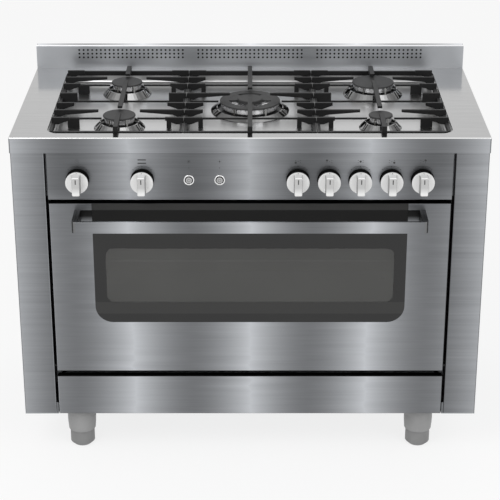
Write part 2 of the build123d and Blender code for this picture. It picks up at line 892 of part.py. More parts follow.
# Push buttons and the switches that hold them
button_front = front - button_stand_out
button_back = front + switch_depth / 2
with BuildPart() as button_switches:
    for x in button_places.values():
        with BuildSketch(facing(front)):
            with Locations((x, knob_z)):
                Circle(button_ring_radius)
        extrude(amount=button_ring_depth)
        with BuildSketch(facing(front)):
            with Locations((x, knob_z)):
                Circle(switch_barrel_radius)
        extrude(amount=-switch_depth)
        with BuildSketch(facing(front + sheet)):
            with Locations((x, knob_z)):
                Rectangle(2 * button_ring_radius, 2 * button_ring_radius)
        extrude(amount=sheet - switch_depth)
        with BuildSketch(facing(front - button_ring_depth)):
            with Locations((x, knob_z)):
                Circle(button_radius + running_gap)
        bore_end = button_back + button_travel + running_gap
        extrude(amount=front - button_ring_depth - bore_end, mode=Mode.SUBTRACT)
        with BuildSketch(facing(front - button_ring_depth)):
            with Locations((x, knob_z)):
                Circle(button_radius + button_groove)
        extrude(amount=-button_ring_depth, mode=Mode.SUBTRACT)
    fillet(button_switches.edges().group_by(Axis.Y)[0], radius=button_ring_edge)
save(button_switches, "button_switches")

for name, x in button_places.items():
    with BuildPart() as button:
        with BuildSketch(facing(button_back)):
            with Locations((x, knob_z)):
                Circle(button_radius)
        extrude(amount=button_back - button_front)
        fillet(button.edges().group_by(Axis.Y)[0], radius=1.5)
    save(button, f"button_{name}")

# Oven cavity: a box open to the front, with a flange between the columns
cavity_middle_z = (cavity_bottom + cavity_top) / 2
grill_z = cavity_top - grill_drop
with BuildPart() as oven_cavity:
    with BuildSketch(facing(cavity_front)):
        with Locations((0, (flange_bottom + flange_top) / 2)):
            Rectangle(2 * jamb_x - 1, flange_top - flange_bottom)
    extrude(amount=sheet)
    with BuildSketch(facing(cavity_front)):
        with Locations((0, cavity_middle_z)):
            Rectangle(cavity_width + 2 * sheet, cavity_height + 2 * sheet)
    extrude(amount=-cavity_depth - sheet)
    with BuildSketch(facing(cavity_front - sheet)):
        with Locations((0, cavity_middle_z)):
            Rectangle(cavity_width, cavity_height)
    extrude(amount=-cavity_depth - sheet, mode=Mode.SUBTRACT)
    with BuildSketch(facing(cavity_back)):
        with Locations((0, oven_burner_z)):
            Circle(pipe_radius + 2 + running_gap)
        with Locations((0, grill_z)):
            with GridLocations(grill_tail_pitch, 1, 2, 1):
                Circle(grill_radius + running_gap)
    extrude(amount=-2 * sheet, mode=Mode.SUBTRACT)
save(oven_cavity, "oven_cavity")

# Insulation: a blanket over the cavity's outside
with BuildPart() as oven_insulation:
    with BuildSketch(facing(cavity_front)):
        with Locations((0, cavity_middle_z)):
            Rectangle(cavity_width + 2 * (sheet + insulation), cavity_height + 2 * (sheet + insulation))
    extrude(amount=cavity_front - insulation_back)
    with BuildSketch(facing(cavity_front)):
        with Locations((0, cavity_middle_z)):
            Rectangle(cavity_width + 2 * sheet, cavity_height + 2 * sheet)
    extrude(amount=-cavity_depth - sheet, mode=Mode.SUBTRACT)
    with BuildSketch(facing(cavity_back)):
        with Locations((0, oven_burner_z)):
            Circle(pipe_radius + 2 + running_gap)
        with Locations((0, grill_z)):
            with GridLocations(grill_tail_pitch, 1, 2, 1):
                Circle(grill_radius + running_gap)
    extrude(amount=-2 * insulation, mode=Mode.SUBTRACT)
save(oven_insulation, "oven_insulation")

# Door seal: a ring on the flange, just clear of the shut door
seal_front = front + door_depth + running_gap
with BuildPart() as door_seal:
    with BuildSketch(facing(cavity_front - sheet)):
        with Locations((0, cavity_middle_z)):
            inner_w = cavity_width + 2 * seal_inset
            inner_h = cavity_height + 2 * seal_inset
            RectangleRounded(inner_w + 2 * seal_width, inner_h + 2 * seal_width, 2 * seal_width)
            RectangleRounded(inner_w, inner_h, seal_width, mode=Mode.SUBTRACT)
    extrude(amount=cavity_front - sheet - seal_front)
    fillet(door_seal.edges().group_by(Axis.Y)[0], radius=seal_width / 4)
save(door_seal, "door_seal")

# Oven burner: a cross tube on two feet, with its inlet through the back wall
oven_burner_y = (cavity_front + cavity_back) / 2
oven_burner_length = cavity_width - 2 * oven_burner_margin
with BuildPart() as oven_burner:
    with BuildSketch(Plane.YZ.offset(-oven_burner_length / 2)):
        with Locations((oven_burner_y, oven_burner_z)):
            Circle(oven_burner_radius)
    extrude(amount=oven_burner_length)
    with BuildSketch(facing(oven_burner_y)):
        with Locations((0, oven_burner_z)):
            Circle(pipe_radius + 2)
    extrude(amount=oven_burner_y - insulation_back)
    with BuildSketch(Plane.XY.offset(cavity_bottom)):
        with Locations((0, oven_burner_y)):
            with GridLocations(oven_burner_length * 0.7, 1, 2, 1):
                Rectangle(2 * oven_burner_radius, oven_burner_radius)
    extrude(amount=oven_burner_rise)
save(oven_burner, "oven_burner")

# Oven floor: a plate over the burner, turned down at its sides, with heat slots
oven_floor_z = cavity_bottom + oven_floor_rise
floor_half = cavity_width / 2 - oven_floor_gap
floor_length = cavity_depth - 2 * oven_floor_gap
with BuildPart() as oven_floor:
    with BuildSketch(facing(cavity_front + oven_floor_gap)):
        floor_bends = [
            (-floor_half, cavity_bottom),
            (-floor_half, oven_floor_z + sheet),
            (floor_half, oven_floor_z + sheet),
            (floor_half, cavity_bottom),
        ]
        bent_sheet(floor_bends, sheet, Side.RIGHT)
    extrude(amount=-floor_length)
    with BuildSketch(Plane.XY.offset(oven_floor_z)):
        with Locations((0, oven_burner_y)):
            with GridLocations(2 * floor_half - 4 * floor_slot_width, 1, 2, 1):
                SlotOverall(floor_length * 0.8, floor_slot_width, rotation=90)
    extrude(amount=2 * sheet, mode=Mode.SUBTRACT)
save(oven_floor, "oven_floor")

# Grill element: a tube bent into a loop under the cavity's roof, with two tails through the back
grill_back = cavity_back - grill_back_margin
grill_front = cavity_front + grill_front_margin
grill_width = cavity_width - 2 * grill_side_margin
tail_x = grill_tail_pitch / 2
grill_route = [
    (-tail_x, insulation_back, grill_z),
    (-tail_x, grill_back, grill_z),
    (-grill_width / 2, grill_back, grill_z),
    (-grill_width / 2, grill_front, grill_z),
    (grill_width / 2, grill_front, grill_z),
    (grill_width / 2, grill_back, grill_z),
    (tail_x, grill_back, grill_z),
    (tail_x, insulation_back, grill_z),
]
with BuildPart() as grill_element:
    with BuildLine() as loop:
        FilletPolyline(*grill_route, radius=grill_bend)
    with BuildSketch(Plane(loop.line @ 0, z_dir=loop.line % 0)):
        Circle(grill_radius)
    sweep(path=loop.line)
save(grill_element, "grill_element")

# Shelf racks: two wires up each side wall that carry the runners
rack_x = cavity_width / 2 - rack_wire - running_gap
runner_x = rack_x - 2 * rack_wire + 0.5
rack_bottom = oven_floor_z + 2 * sheet
rack_top = grill_z - 2 * rack_wire
rack_front = cavity_front + 40
rack_back = cavity_back - 20
rack_pitch = (cavity_height - rack_first - rack_last_drop) / (rack_levels - 1)
runner_z = [cavity_bottom + rack_first + i * rack_pitch for i in range(rack_levels)]
with BuildPart() as shelf_racks:
    for side in (-1, 1):
        with BuildSketch(Plane.XY.offset(rack_bottom)):
            with Locations((side * rack_x, rack_front + 30), (side * rack_x, rack_back - 30)):
                Circle(rack_wire)
        extrude(amount=rack_top - rack_bottom)
        with BuildSketch(facing(rack_front)):
            with Locations(*[(side * runner_x, z) for z in runner_z]):
                Circle(rack_wire)
        extrude(amount=rack_front - rack_back)
save(shelf_racks, "shelf_racks")

# Wire shelf: a frame on one pair of runners, with rods from front to back
shelf_z = runner_z[shelf_level] + rack_wire + shelf_wire + running_gap
shelf_half = runner_x - 1
shelf_length = rack_back - rack_front
with BuildPart() as wire_shelf:
    with BuildSketch(facing(rack_front)):
        with Locations((0, shelf_z)):
            with GridLocations(2 * shelf_half, 1, 2, 1):
                Circle(shelf_wire)
            with GridLocations(2 * shelf_half / (shelf_rods + 1), 1, shelf_rods, 1):
                Circle(shelf_rod)
    extrude(amount=-shelf_length)
    with BuildSketch(Plane.YZ.offset(-shelf_half)):
        with Locations((rack_front + shelf_wire, shelf_z), (rack_back - shelf_wire, shelf_z)):
            Circle(shelf_wire)
    extrude(amount=2 * shelf_half)
save(wire_shelf, "wire_shelf")

# Oven door panel: a pan with a cut-out from its top edge, and a ledge inside for the glass
door_middle_z = (door_bottom + door_top) / 2
glass_top = door_top - sheet - running_gap
glass_bottom = door_bottom + glass_above_bottom
glass_width = 2 * (front_half - glass_side_margin)
glass_back = front + glass_set_back + glass_thickness


def glass_outline(grow, top):
    """The glass shape grown by an amount, square at its top and rounded at its lower corners."""
    width = glass_width + 2 * grow
    height = top - glass_bottom + grow
    with BuildSketch(mode=Mode.PRIVATE) as shape:
        with Locations((0, top - height / 2)):
            Rectangle(width, height)
        fillet(shape.vertices().sort_by(Axis.Y)[:2], radius=glass_corner + grow)
    return shape.sketch


with BuildPart() as door_panel:
    with BuildSketch(facing(front)):
        with Locations((0, door_middle_z)):
            Rectangle(2 * front_half, door_height)
    extrude(amount=-door_depth)
    fillet(door_panel.edges().group_by(Axis.Y)[0], radius=bend_radius)
    with BuildSketch(facing(front + sheet)):
        with Locations((0, door_middle_z)):
            Rectangle(2 * (front_half - sheet), door_height - 2 * sheet)
    extrude(amount=-door_depth, mode=Mode.SUBTRACT)
    with BuildSketch(facing(front + sheet)):
        add(glass_outline(glass_gap + sheet, door_top - sheet))
    extrude(amount=front - glass_back)
    with BuildSketch(facing(front)):
        add(glass_outline(glass_gap, door_top - sheet))
    extrude(amount=front - glass_back, mode=Mode.SUBTRACT)
    with BuildSketch(facing(front)):
        add(glass_outline(-glass_ledge, door_top - sheet))
    extrude(amount=-door_depth, mode=Mode.SUBTRACT)
    with BuildSketch(Plane.YZ.offset(-jamb_x)):
        with Locations((door_axis_y, door_axis_z)):
            Circle(door_pin_radius + pin_gap)
    extrude(amount=2 * jamb_x, mode=Mode.SUBTRACT)
save(door_panel, "door_panel")

# Door glass: the outer pane, on the panel's ledge
with BuildPart() as door_glass:
    with BuildSketch(facing(glass_back)):
        add(glass_outline(0, glass_top))
    extrude(amount=glass_thickness)
save(door_glass, "door_glass")

# Door liner: the plate that closes the back of the door, with a window
liner_front = front + door_depth - sheet
inner_window_width = cavity_width - 2 * inner_window_margin
inner_window_height = door_height - inner_window_above_bottom - inner_window_below_top
window_z = door_bottom + inner_window_above_bottom + inner_window_height / 2
with BuildPart() as door_liner:
    with BuildSketch(facing(liner_front)):
        with Locations((0, door_middle_z)):
            Rectangle(2 * (front_half - sheet), door_height - 2 * sheet)
        with Locations((0, window_z)):
            RectangleRounded(inner_window_width, inner_window_height, 20, mode=Mode.SUBTRACT)
    extrude(amount=-sheet)
save(door_liner, "door_liner")

with BuildPart() as door_inner_glass:
    with BuildSketch(facing(liner_front)):
        with Locations((0, window_z)):
            pane_w = inner_window_width + 2 * inner_glass_lap
            pane_h = inner_window_height + 2 * inner_glass_lap
            RectangleRounded(pane_w, pane_h, 20)
    extrude(amount=inner_glass_thickness)
save(door_inner_glass, "door_inner_glass")

# Door handle: one flat strip bent twice, its ends on the door's face
handle_top = door_top - handle_below_door_top
handle_half = front_half - handle_end_inset
handle_front = front - handle_reach
with BuildPart() as door_handle:
    with BuildSketch(Plane.XY.offset(handle_top - handle_height)):
        handle_bends = [
            (-handle_half, front),
            (-handle_half, handle_front),
            (handle_half, handle_front),
            (handle_half, front),
        ]
        bent_sheet(handle_bends, handle_thickness)
    extrude(amount=handle_height)
    uprights = door_handle.edges().filter_by(Axis.Z)
    fillet(uprights.filter_by_position(Axis.Y, handle_front - 1, handle_front + 1), radius=handle_bend)
    fillet(door_handle.edges().group_by(Axis.Z)[-1], radius=1)
    fillet(door_handle.edges().group_by(Axis.Z)[0], radius=1)
save(door_handle, "door_handle")


def hinge_pair(plate, depths, heights, axis_y, axis_z, pin_radius):
    """A plate against each side wall of a door, with a pin out through the wall to the jamb."""
    wall_x = front_half - sheet
    with BuildPart() as pair:
        for side in (-1, 1):
            with BuildSketch(Plane.YZ.offset(side * wall_x)):
                with Locations((sum(depths) / 2, sum(heights) / 2)):
                    Rectangle(depths[1] - depths[0], heights[1] - heights[0])
            extrude(amount=-side * plate)
            with BuildSketch(Plane.YZ.offset(side * wall_x)):
                with Locations((axis_y, axis_z)):
                    Circle(pin_radius)
            extrude(amount=side * (jamb_x + sheet - wall_x))
    return pair


door_plate_heights = (door_bottom + sheet, door_bottom + sheet + hinge_plate_height)
door_plate_depths = (front + sheet, front + door_depth - sheet)
door_hinges = hinge_pair(
    hinge_plate_thickness, door_plate_depths, door_plate_heights, door_axis_y, door_axis_z, door_pin_radius
)
save(door_hinges, "door_hinges")

# Storage flap: a shallow pan with a liner, on two pins at its lower edge
flap_height = flap_top - foot_height
flap_middle_z = foot_height + flap_height / 2
with BuildPart() as flap_panel:
    with BuildSketch(facing(front)):
        with Locations((0, flap_middle_z)):
            Rectangle(2 * front_half, flap_height)
    extrude(amount=-flap_depth)
    fillet(flap_panel.edges().group_by(Axis.Y)[0], radius=bend_radius)
    with BuildSketch(facing(front + sheet)):
        with Locations((0, flap_middle_z)):
            Rectangle(2 * (front_half - sheet), flap_height - 2 * sheet)
    extrude(amount=-flap_depth, mode=Mode.SUBTRACT)
    with BuildSketch(Plane.YZ.offset(-jamb_x)):
        with Locations((flap_axis_y, flap_axis_z)):
            Circle(flap_pin_radius + pin_gap)
    extrude(amount=2 * jamb_x, mode=Mode.SUBTRACT)
save(flap_panel, "flap_panel")

with BuildPart() as flap_liner:
    with BuildSketch(facing(front + flap_depth - sheet)):
        with Locations((0, flap_middle_z)):
            Rectangle(2 * (front_half - sheet), flap_height - 2 * sheet)
    extrude(amount=-sheet)
save(flap_liner, "flap_liner")

flap_plate_heights = (foot_height + sheet, flap_top - sheet)
flap_plate_depths = (front + sheet, front + flap_depth - sheet)
flap_hinges = hinge_pair(
    hinge_plate_thickness, flap_plate_depths, flap_plate_heights, flap_axis_y, flap_axis_z, flap_pin_radius
)
save(flap_hinges, "flap_hinges")

# Storage box: the compartment behind the flap, open to the front, on the base frame
storage_top = flap_top - storage_drop
storage_middle_z = (base_top + storage_top) / 2
storage_width = 2 * (front_half - storage_side_gap)
storage_depth = back - storage_from_back - base_front
with BuildPart() as storage_box:
    with BuildSketch(facing(base_front)):
        with Locations((0, storage_middle_z)):
            Rectangle(storage_width, storage_top - base_top)
    extrude(amount=-storage_depth)
    with BuildSketch(facing(base_front)):
        with Locations((0, storage_middle_z)):
            Rectangle(storage_width - 2 * sheet, storage_top - base_top - 2 * sheet)
    extrude(amount=sheet - storage_depth, mode=Mode.SUBTRACT)
save(storage_box, "storage_box")

# Feet: a barrel-shaped sleeve under each corner of the base, and a levelling foot in it
sleeve_bottom = foot_height - sleeve_height
with BuildPart() as foot_sleeves:
    for x, y in foot_places.values():
        with BuildSketch(Plane((x, y, 0), x_dir=(1, 0, 0), z_dir=(0, -1, 0))):
            with BuildLine():
                bore = foot_stem_radius + running_gap
                rim = sleeve_radius - sleeve_waist
                Polyline((rim, sleeve_bottom), (bore, sleeve_bottom), (bore, foot_height), (rim, foot_height))
                waist = (sleeve_radius, (sleeve_bottom + foot_height) / 2)
                ThreePointArc((rim, foot_height), waist, (rim, sleeve_bottom))
            make_face()
        revolve(axis=Axis((x, y, 0), (0, 0, 1)))
save(foot_sleeves, "foot_sleeves")

for name, (x, y) in foot_places.items():
    with BuildPart() as foot:
        with BuildSketch():
            with Locations((x, y)):
                Circle(foot_radius)
        extrude(amount=sleeve_bottom)
        chamfer(foot.edges().group_by(Axis.Z)[0], length=foot_chamfer)
        with BuildSketch(Plane.XY.offset(sleeve_bottom)):
            with Locations((x, y)):
                Circle(foot_stem_radius)
        extrude(amount=foot_stem_length)
    save(foot, f"foot_{name}")
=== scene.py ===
import bpy
import bmesh
import json
import math
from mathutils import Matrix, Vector


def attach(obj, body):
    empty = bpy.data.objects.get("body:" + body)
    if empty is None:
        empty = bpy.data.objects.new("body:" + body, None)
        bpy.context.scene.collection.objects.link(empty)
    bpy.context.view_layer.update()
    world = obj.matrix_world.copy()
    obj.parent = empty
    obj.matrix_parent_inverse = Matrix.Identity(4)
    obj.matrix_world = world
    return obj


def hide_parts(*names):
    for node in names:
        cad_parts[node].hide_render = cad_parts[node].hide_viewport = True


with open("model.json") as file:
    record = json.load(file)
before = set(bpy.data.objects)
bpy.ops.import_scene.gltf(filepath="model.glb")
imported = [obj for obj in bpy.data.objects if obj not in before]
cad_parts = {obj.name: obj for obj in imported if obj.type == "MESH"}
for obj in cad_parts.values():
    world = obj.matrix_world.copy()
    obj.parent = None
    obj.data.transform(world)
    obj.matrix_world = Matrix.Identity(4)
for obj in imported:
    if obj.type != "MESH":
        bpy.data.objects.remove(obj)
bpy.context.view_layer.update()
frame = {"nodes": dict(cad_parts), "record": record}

nodes = frame["nodes"]

# Places on the cooker in metres: x to the right, y to the back, z up from the floor
FRONT = -0.260
WORKTOP_Z = 0.900
JAMB = 0.514
SIDES = {"left": -1, "right": 1}

# Knobs and buttons: their middles, and the y of each step's front
KNOB_Z = 0.788
KNOB_X = {
    "timer": -0.432,
    "oven": -0.270,
    "front_left": 0.120,
    "rear_left": 0.198,
    "wok": 0.276,
    "front_right": 0.354,
    "rear_right": 0.432,
}
BUTTON_X = {"light": -0.153, "ignition": -0.076}
NECK_FRONT = FRONT - 0.0215
DISC_FRONT = FRONT - 0.0265
GRIP_FRONT = FRONT - 0.054
BUTTON_FRONT = FRONT - 0.006

# Handle: one strip, bent at both ends into legs
HANDLE_TOP = 0.7055
HANDLE_BOTTOM = 0.675
HANDLE_END = 0.444
HANDLE_SHEET = 0.008
HANDLE_REACH = 0.080

# Thickness of printed ink
INK = 0.0002

# Shader helpers: places of the colour sockets on a Mix node, and how rough the noise is
MIX_FIRST = 6
MIX_SECOND = 7
MIX_RESULT = 2
NOISE_ROUGHNESS = 0.55


def fill(tree, socket, value):
    """Link a socket to another node's output, or set it to a number, a colour or a scale."""
    if isinstance(value, bpy.types.NodeSocket):
        tree.links.new(value, socket)
    elif socket.type == "RGBA":
        socket.default_value = (*value, 1)
    else:
        socket.default_value = value


def start(name, colour, roughness, metallic=0.0):
    """A new material with its colour, roughness and metalness set on the shader's own sockets."""
    mat = bpy.data.materials.new(name)
    mat.use_nodes = True
    shader = mat.node_tree.nodes["Principled BSDF"]
    fill(mat.node_tree, shader.inputs["Base Color"], colour)
    shader.inputs["Roughness"].default_value = roughness
    shader.inputs["Metallic"].default_value = metallic
    return mat, mat.node_tree, shader


def put(tree, kind, **inputs):
    """A new node with its inputs filled by name."""
    node = tree.nodes.new(kind)
    for key, value in inputs.items():
        fill(tree, node.inputs[key], value)
    return node


def math_node(tree, operation, *values):
    """The result of an operation on numbers and other nodes' outputs."""
    node = tree.nodes.new("ShaderNodeMath")
    node.operation = operation
    for socket, value in zip(node.inputs, values):
        fill(tree, socket, value)
    return node.outputs[0]


def axes(tree):
    """The object coordinates X, Y and Z."""
    where = tree.nodes.new("ShaderNodeTexCoord")
    return put(tree, "ShaderNodeSeparateXYZ", Vector=where.outputs["Object"]).outputs


def turned(tree):
    """The parts X, Y and Z of the surface's normal."""
    surface = tree.nodes.new("ShaderNodeNewGeometry")
    return put(tree, "ShaderNodeSeparateXYZ", Vector=surface.outputs["True Normal"]).outputs


def noise(tree, scale, detail=3.0):
    """Noise from 0 to 1, finer along the axes with a larger scale."""
    where = tree.nodes.new("ShaderNodeTexCoord")
    spread = put(tree, "ShaderNodeMapping", Vector=where.outputs["Object"], Scale=scale)
    look = {"Scale": 1.0, "Detail": detail, "Roughness": NOISE_ROUGHNESS}
    return put(tree, "ShaderNodeTexNoise", Vector=spread.outputs[0], **look).outputs["Fac"]


def ramp(tree, value, stops):
    """Colours along a value: stops are (position, colour)."""
    node = put(tree, "ShaderNodeValToRGB", Fac=value)
    elements = node.color_ramp.elements
    for i, (position, colour) in enumerate(stops):
        element = elements[i] if i < 2 else elements.new(position)
        element.position = position
        element.color = (*colour, 1)
    return node.outputs["Color"]


def span(tree, value, low, high, first=0.0, length=1.0):
    """Low at the first value, then evenly to high over a length, which may be negative; level outside it."""
    limits = {"From Min": first, "From Max": first + length, "To Min": low, "To Max": high}
    return put(tree, "ShaderNodeMapRange", Value=value, **limits).outputs[0]


def mix(tree, share, first, second):
    """The first colour where share is 0, the second where it is 1."""
    node = tree.nodes.new("ShaderNodeMix")
    node.data_type = "RGBA"
    fill(tree, node.inputs["Factor"], share)
    fill(tree, node.inputs[MIX_FIRST], first)
    fill(tree, node.inputs[MIX_SECOND], second)
    return node.outputs[MIX_RESULT]


def above(tree, value, limit):
    return math_node(tree, "GREATER_THAN", value, limit)


def below(tree, value, limit):
    return math_node(tree, "LESS_THAN", value, limit)


def both(tree, first, second):
    return math_node(tree, "MULTIPLY", first, second)


def either(tree, first, second):
    return math_node(tree, "MAXIMUM", first, second)


def between(tree, value, low, high):
    return both(tree, above(tree, value, low), below(tree, value, high))


def size_of(tree, value):
    return math_node(tree, "ABSOLUTE", value)


def slant(tree, across, upward):
    """The length of the slanted line with these two legs."""
    square = math_node(tree, "MULTIPLY", across, across)
    return math_node(tree, "SQRT", math_node(tree, "MULTIPLY_ADD", upward, upward, square))


def lifted(tree, colour, factor):
    """A colour made brighter or darker by a factor."""
    return put(tree, "ShaderNodeHueSaturation", Color=colour, Value=factor).outputs[0]


# Heights of the surfaces' grain in metres
PIT_HEIGHT = 0.0004
BRUSH_HEIGHT = 0.0003
POLISH_HEIGHT = 0.0002

# A face is turned an axis's way where that part of its normal is past this
FACING = 0.5

# Red and blue of steel as shares of its green
STEEL_RED = 0.97
STEEL_BLUE = 1.045


def neutral(value):
    """A grey without tint."""
    return (value, value, value)


def steel_grey(value):
    """A grey a little bluer than neutral."""
    return (value * STEEL_RED, value, value * STEEL_BLUE)


def mottled(tree, colour, vary=0.18):
    """A colour that wanders a little lighter and darker."""
    less = tuple(part * (1 - vary) for part in colour)
    more = tuple(min(1.0, part * (1 + vary)) for part in colour)
    return ramp(tree, noise(tree, (14, 14, 14), detail=4.0), [(0.25, less), (0.75, more)])


def raised(tree, shader, grain, strength, height):
    """Raise the surface by a grain."""
    node = put(tree, "ShaderNodeBump", Height=grain, Strength=strength, Distance=height)
    tree.links.new(node.outputs[0], shader.inputs["Normal"])


def textured(tree, shader, grain, smooth, rough, strength, height):
    """Let a grain vary the roughness between two values, and raise the surface."""
    fill(tree, shader.inputs["Roughness"], span(tree, grain, smooth, rough))
    raised(tree, shader, grain, strength, height)


def pitted(tree, shader, scale, smooth, rough, strength):
    """Fine pits, as on castings, paint and plastic."""
    textured(tree, shader, noise(tree, (scale, scale, scale)), smooth, rough, strength, PIT_HEIGHT)


# Brushed sheets with painted soft upright bands of sheen: the bands' pitch and wander, and what a tone is
# made up of
BAND = 0.1515
BAND_WANDER = 0.018
BAND_NARROWNESS = 1.8
BAND_SHARE = 0.7
BROAD_SHARE = 0.35
STREAK_CONTRAST = 0.25


def banded(tree, dark, bright, streak):
    """Colour of sheet brushed along its length, from dark to bright across painted bands of sheen, and its
    fine grain.
    """
    x, y, _ = axes(tree)
    fine = noise(tree, (5, 5, 420), detail=4.0)
    broad = noise(tree, (1.6, 1.6, 60), detail=2.0)
    along = math_node(tree, "MULTIPLY_ADD", y, size_of(tree, turned(tree)["X"]), x)
    along = math_node(tree, "ADD", along, span(tree, broad, -BAND_WANDER, BAND_WANDER))
    from_peak = math_node(tree, "PINGPONG", along, BAND)
    # Painted sheen: upright bands of light put into the colour at an even pitch
    peak = math_node(tree, "POWER", span(tree, from_peak, 1.0, 0.0, length=BAND), BAND_NARROWNESS)
    sheen = math_node(tree, "MULTIPLY", peak, BAND_SHARE)
    grain = math_node(tree, "MULTIPLY_ADD", broad, BROAD_SHARE, fine)
    level = math_node(tree, "MULTIPLY_ADD", grain, streak, sheen)
    middle = streak * (1 + BROAD_SHARE) / 2
    stops = [
        (0.0, steel_grey(dark * (1 - STREAK_CONTRAST))),
        (middle, steel_grey(dark)),
        (BAND_SHARE + middle, steel_grey(bright)),
        (1.0, steel_grey(bright * (1 + STREAK_CONTRAST))),
    ]
    return ramp(tree, level, stops), fine


def brushed(tree, shader, colour, fine, roughness=0.36):
    """Give a brushed sheet its colour, and the fine grain that roughens it."""
    fill(tree, shader.inputs["Base Color"], colour)
    smooth, rough = roughness - 0.06, roughness + 0.08
    textured(tree, shader, fine, smooth, rough, strength=0.12, height=BRUSH_HEIGHT)


# Control panel: the height from which painted light makes it paler downwards, and over what length
PANEL_PALE = 0.766
PANEL_FADE = 1 / 30


def panel_steel():
    """Brushed control panel with painted bands of sheen, and painted light that makes it paler towards its
    foot.
    """
    mat, tree, shader = start("panel_steel", steel_grey(0.41), roughness=0.36, metallic=1.0)
    colour, fine = banded(tree, dark=0.13, bright=0.41, streak=0.16)
    # Painted light: the panel's colour is lifted towards its foot
    paler = span(tree, axes(tree)["Z"], 1.02, 1.42, first=PANEL_PALE, length=-PANEL_FADE)
    brushed(tree, shader, lifted(tree, colour, paler), fine)
    return mat


# Side panels and backguard: the guard's sheet, hem and crest, and where it gets darker outwards
GUARD_SHEET = 0.3195
GUARD_HEM = 0.327
GUARD_CREST = 0.963
GUARD_DARKER = 0.4
GUARD_FADE = 1 / 6
JAMB_MARGIN = 0.004


def guard_strip(tree):
    """Colour of the backguard: darker outwards, a painted highlight on its top face, and painted bands of
    sheen on the hem behind that.
    """
    x, y, z = axes(tree)
    outward = span(tree, size_of(tree, x), 1.22, 0.89, first=GUARD_DARKER, length=GUARD_FADE)
    colour = lifted(tree, banded(tree, dark=0.50, bright=0.53, streak=0.12)[0], outward)
    # Painted highlight: near white on the guard's upward top face
    ledge_highlight = both(tree, above(tree, z, GUARD_CREST), above(tree, turned(tree)["Z"], FACING))
    colour = mix(tree, ledge_highlight, colour, (0.86, 0.86, 0.87))
    hem = both(tree, ledge_highlight, above(tree, y, GUARD_HEM))
    return mix(tree, hem, colour, banded(tree, dark=0.14, bright=0.86, streak=0.05)[0])


def vent_hole_shade(tree):
    """1 where painted shade goes: on the edges of the backguard's vent holes and on what is seen through
    them, else 0.
    """
    x, y, z = axes(tree)
    depthwise = turned(tree)["Y"]
    behind = both(tree, above(tree, y, GUARD_SHEET), below(tree, depthwise, -FACING))
    edgewise = both(tree, below(tree, size_of(tree, depthwise), FACING), below(tree, z, GUARD_CREST))
    pierced = both(tree, edgewise, below(tree, size_of(tree, x), JAMB))
    return both(tree, above(tree, z, WORKTOP_Z), either(tree, behind, pierced))


def body_steel():
    """Brushed side panels, darker towards the bottom, and a paler backguard; painted shade in the door's gap
    and in the vent holes.
    """
    mat, tree, shader = start("body_steel", steel_grey(0.45), roughness=0.36, metallic=1.0)
    colour, fine = banded(tree, dark=0.145, bright=0.45, streak=0.20)
    x, _, z = axes(tree)
    colour = lifted(tree, colour, span(tree, z, 0.88, 1.0))
    colour = mix(tree, above(tree, z, WORKTOP_Z), colour, guard_strip(tree))
    sideways = above(tree, size_of(tree, turned(tree)["X"]), FACING)
    jamb_shade = both(tree, sideways, below(tree, size_of(tree, x), JAMB + JAMB_MARGIN))
    # Painted shade: near black in the door's gap and in the vent holes
    colour = mix(tree, either(tree, vent_hole_shade(tree), jamb_shade), colour, neutral(0.01))
    brushed(tree, shader, colour, fine)
    return mat


# Door, flap and handle: the door's painted shade behind the bar, the normal of a front, and places on the
# handle
GLASS_HALF = 0.3995
DOOR_SHADE_FOOT = HANDLE_TOP - 0.033
DOOR_SHADE_FADE = 1 / 60
DOOR_FRONTAL = -0.9
HANDLE_BEND = FRONT - 0.070
HANDLE_GREY = HANDLE_END - 0.010
HANDLE_FLANK = HANDLE_END - 0.002


def door_steel():
    """Brushed door and flap, with painted shade on their thin edges and a painted dark reflection of the
    handle's back beside the glass.
    """
    mat, tree, shader = start("door_steel", steel_grey(0.57), roughness=0.36, metallic=1.0)
    colour, fine = banded(tree, dark=0.185, bright=0.57, streak=0.10)
    x, _, z = axes(tree)
    # Painted shade: near black on every face that does not look to the front
    colour = mix(tree, above(tree, turned(tree)["Y"], DOOR_FRONTAL), colour, (0.03, 0.03, 0.031))
    beside = between(tree, size_of(tree, x), GLASS_HALF, HANDLE_END)
    rise = span(tree, z, 0.0, 1.0, first=DOOR_SHADE_FOOT, length=DOOR_SHADE_FADE)
    # Painted reflection: the handle's dark back, put on the door beside the glass
    painted_reflection = both(tree, both(tree, beside, below(tree, z, HANDLE_TOP)), rise)
    brushed(tree, shader, mix(tree, painted_reflection, colour, neutral(0.02)), fine)
    return mat


def handle_steel():
    """Brushed bar with painted shade that greys its bent ends; painted shade makes its legs darker on top
    and darkest on their inner flanks.
    """
    mat, tree, shader = start("handle_steel", steel_grey(0.52), roughness=0.34, metallic=1.0)
    colour, fine = banded(tree, dark=0.175, bright=0.55, streak=0.08)
    x, y, _ = axes(tree)
    normal = turned(tree)
    reach = size_of(tree, x)
    # Painted shade: greyer ends, darker leg tops and near black inner flanks
    colour = mix(tree, above(tree, reach, HANDLE_GREY), colour, (0.18, 0.182, 0.185))
    leg_top_shade = both(tree, above(tree, normal["Z"], FACING), above(tree, y, HANDLE_BEND))
    colour = mix(tree, leg_top_shade, colour, (0.13, 0.13, 0.132))
    flank_shade = both(tree, above(tree, size_of(tree, normal["X"]), FACING), below(tree, reach, HANDLE_FLANK))
    brushed(tree, shader, mix(tree, flank_shade, colour, neutral(0.02)), fine, roughness=0.34)
    return mat


# Worktop: where its well and its skirt begin, and the part of a normal that tells a level or upright face
WELL_TOP = WORKTOP_Z - 0.012
SKIRT_X = 0.57
SKIRT_Y = FRONT + 0.02
LEANING = 0.15


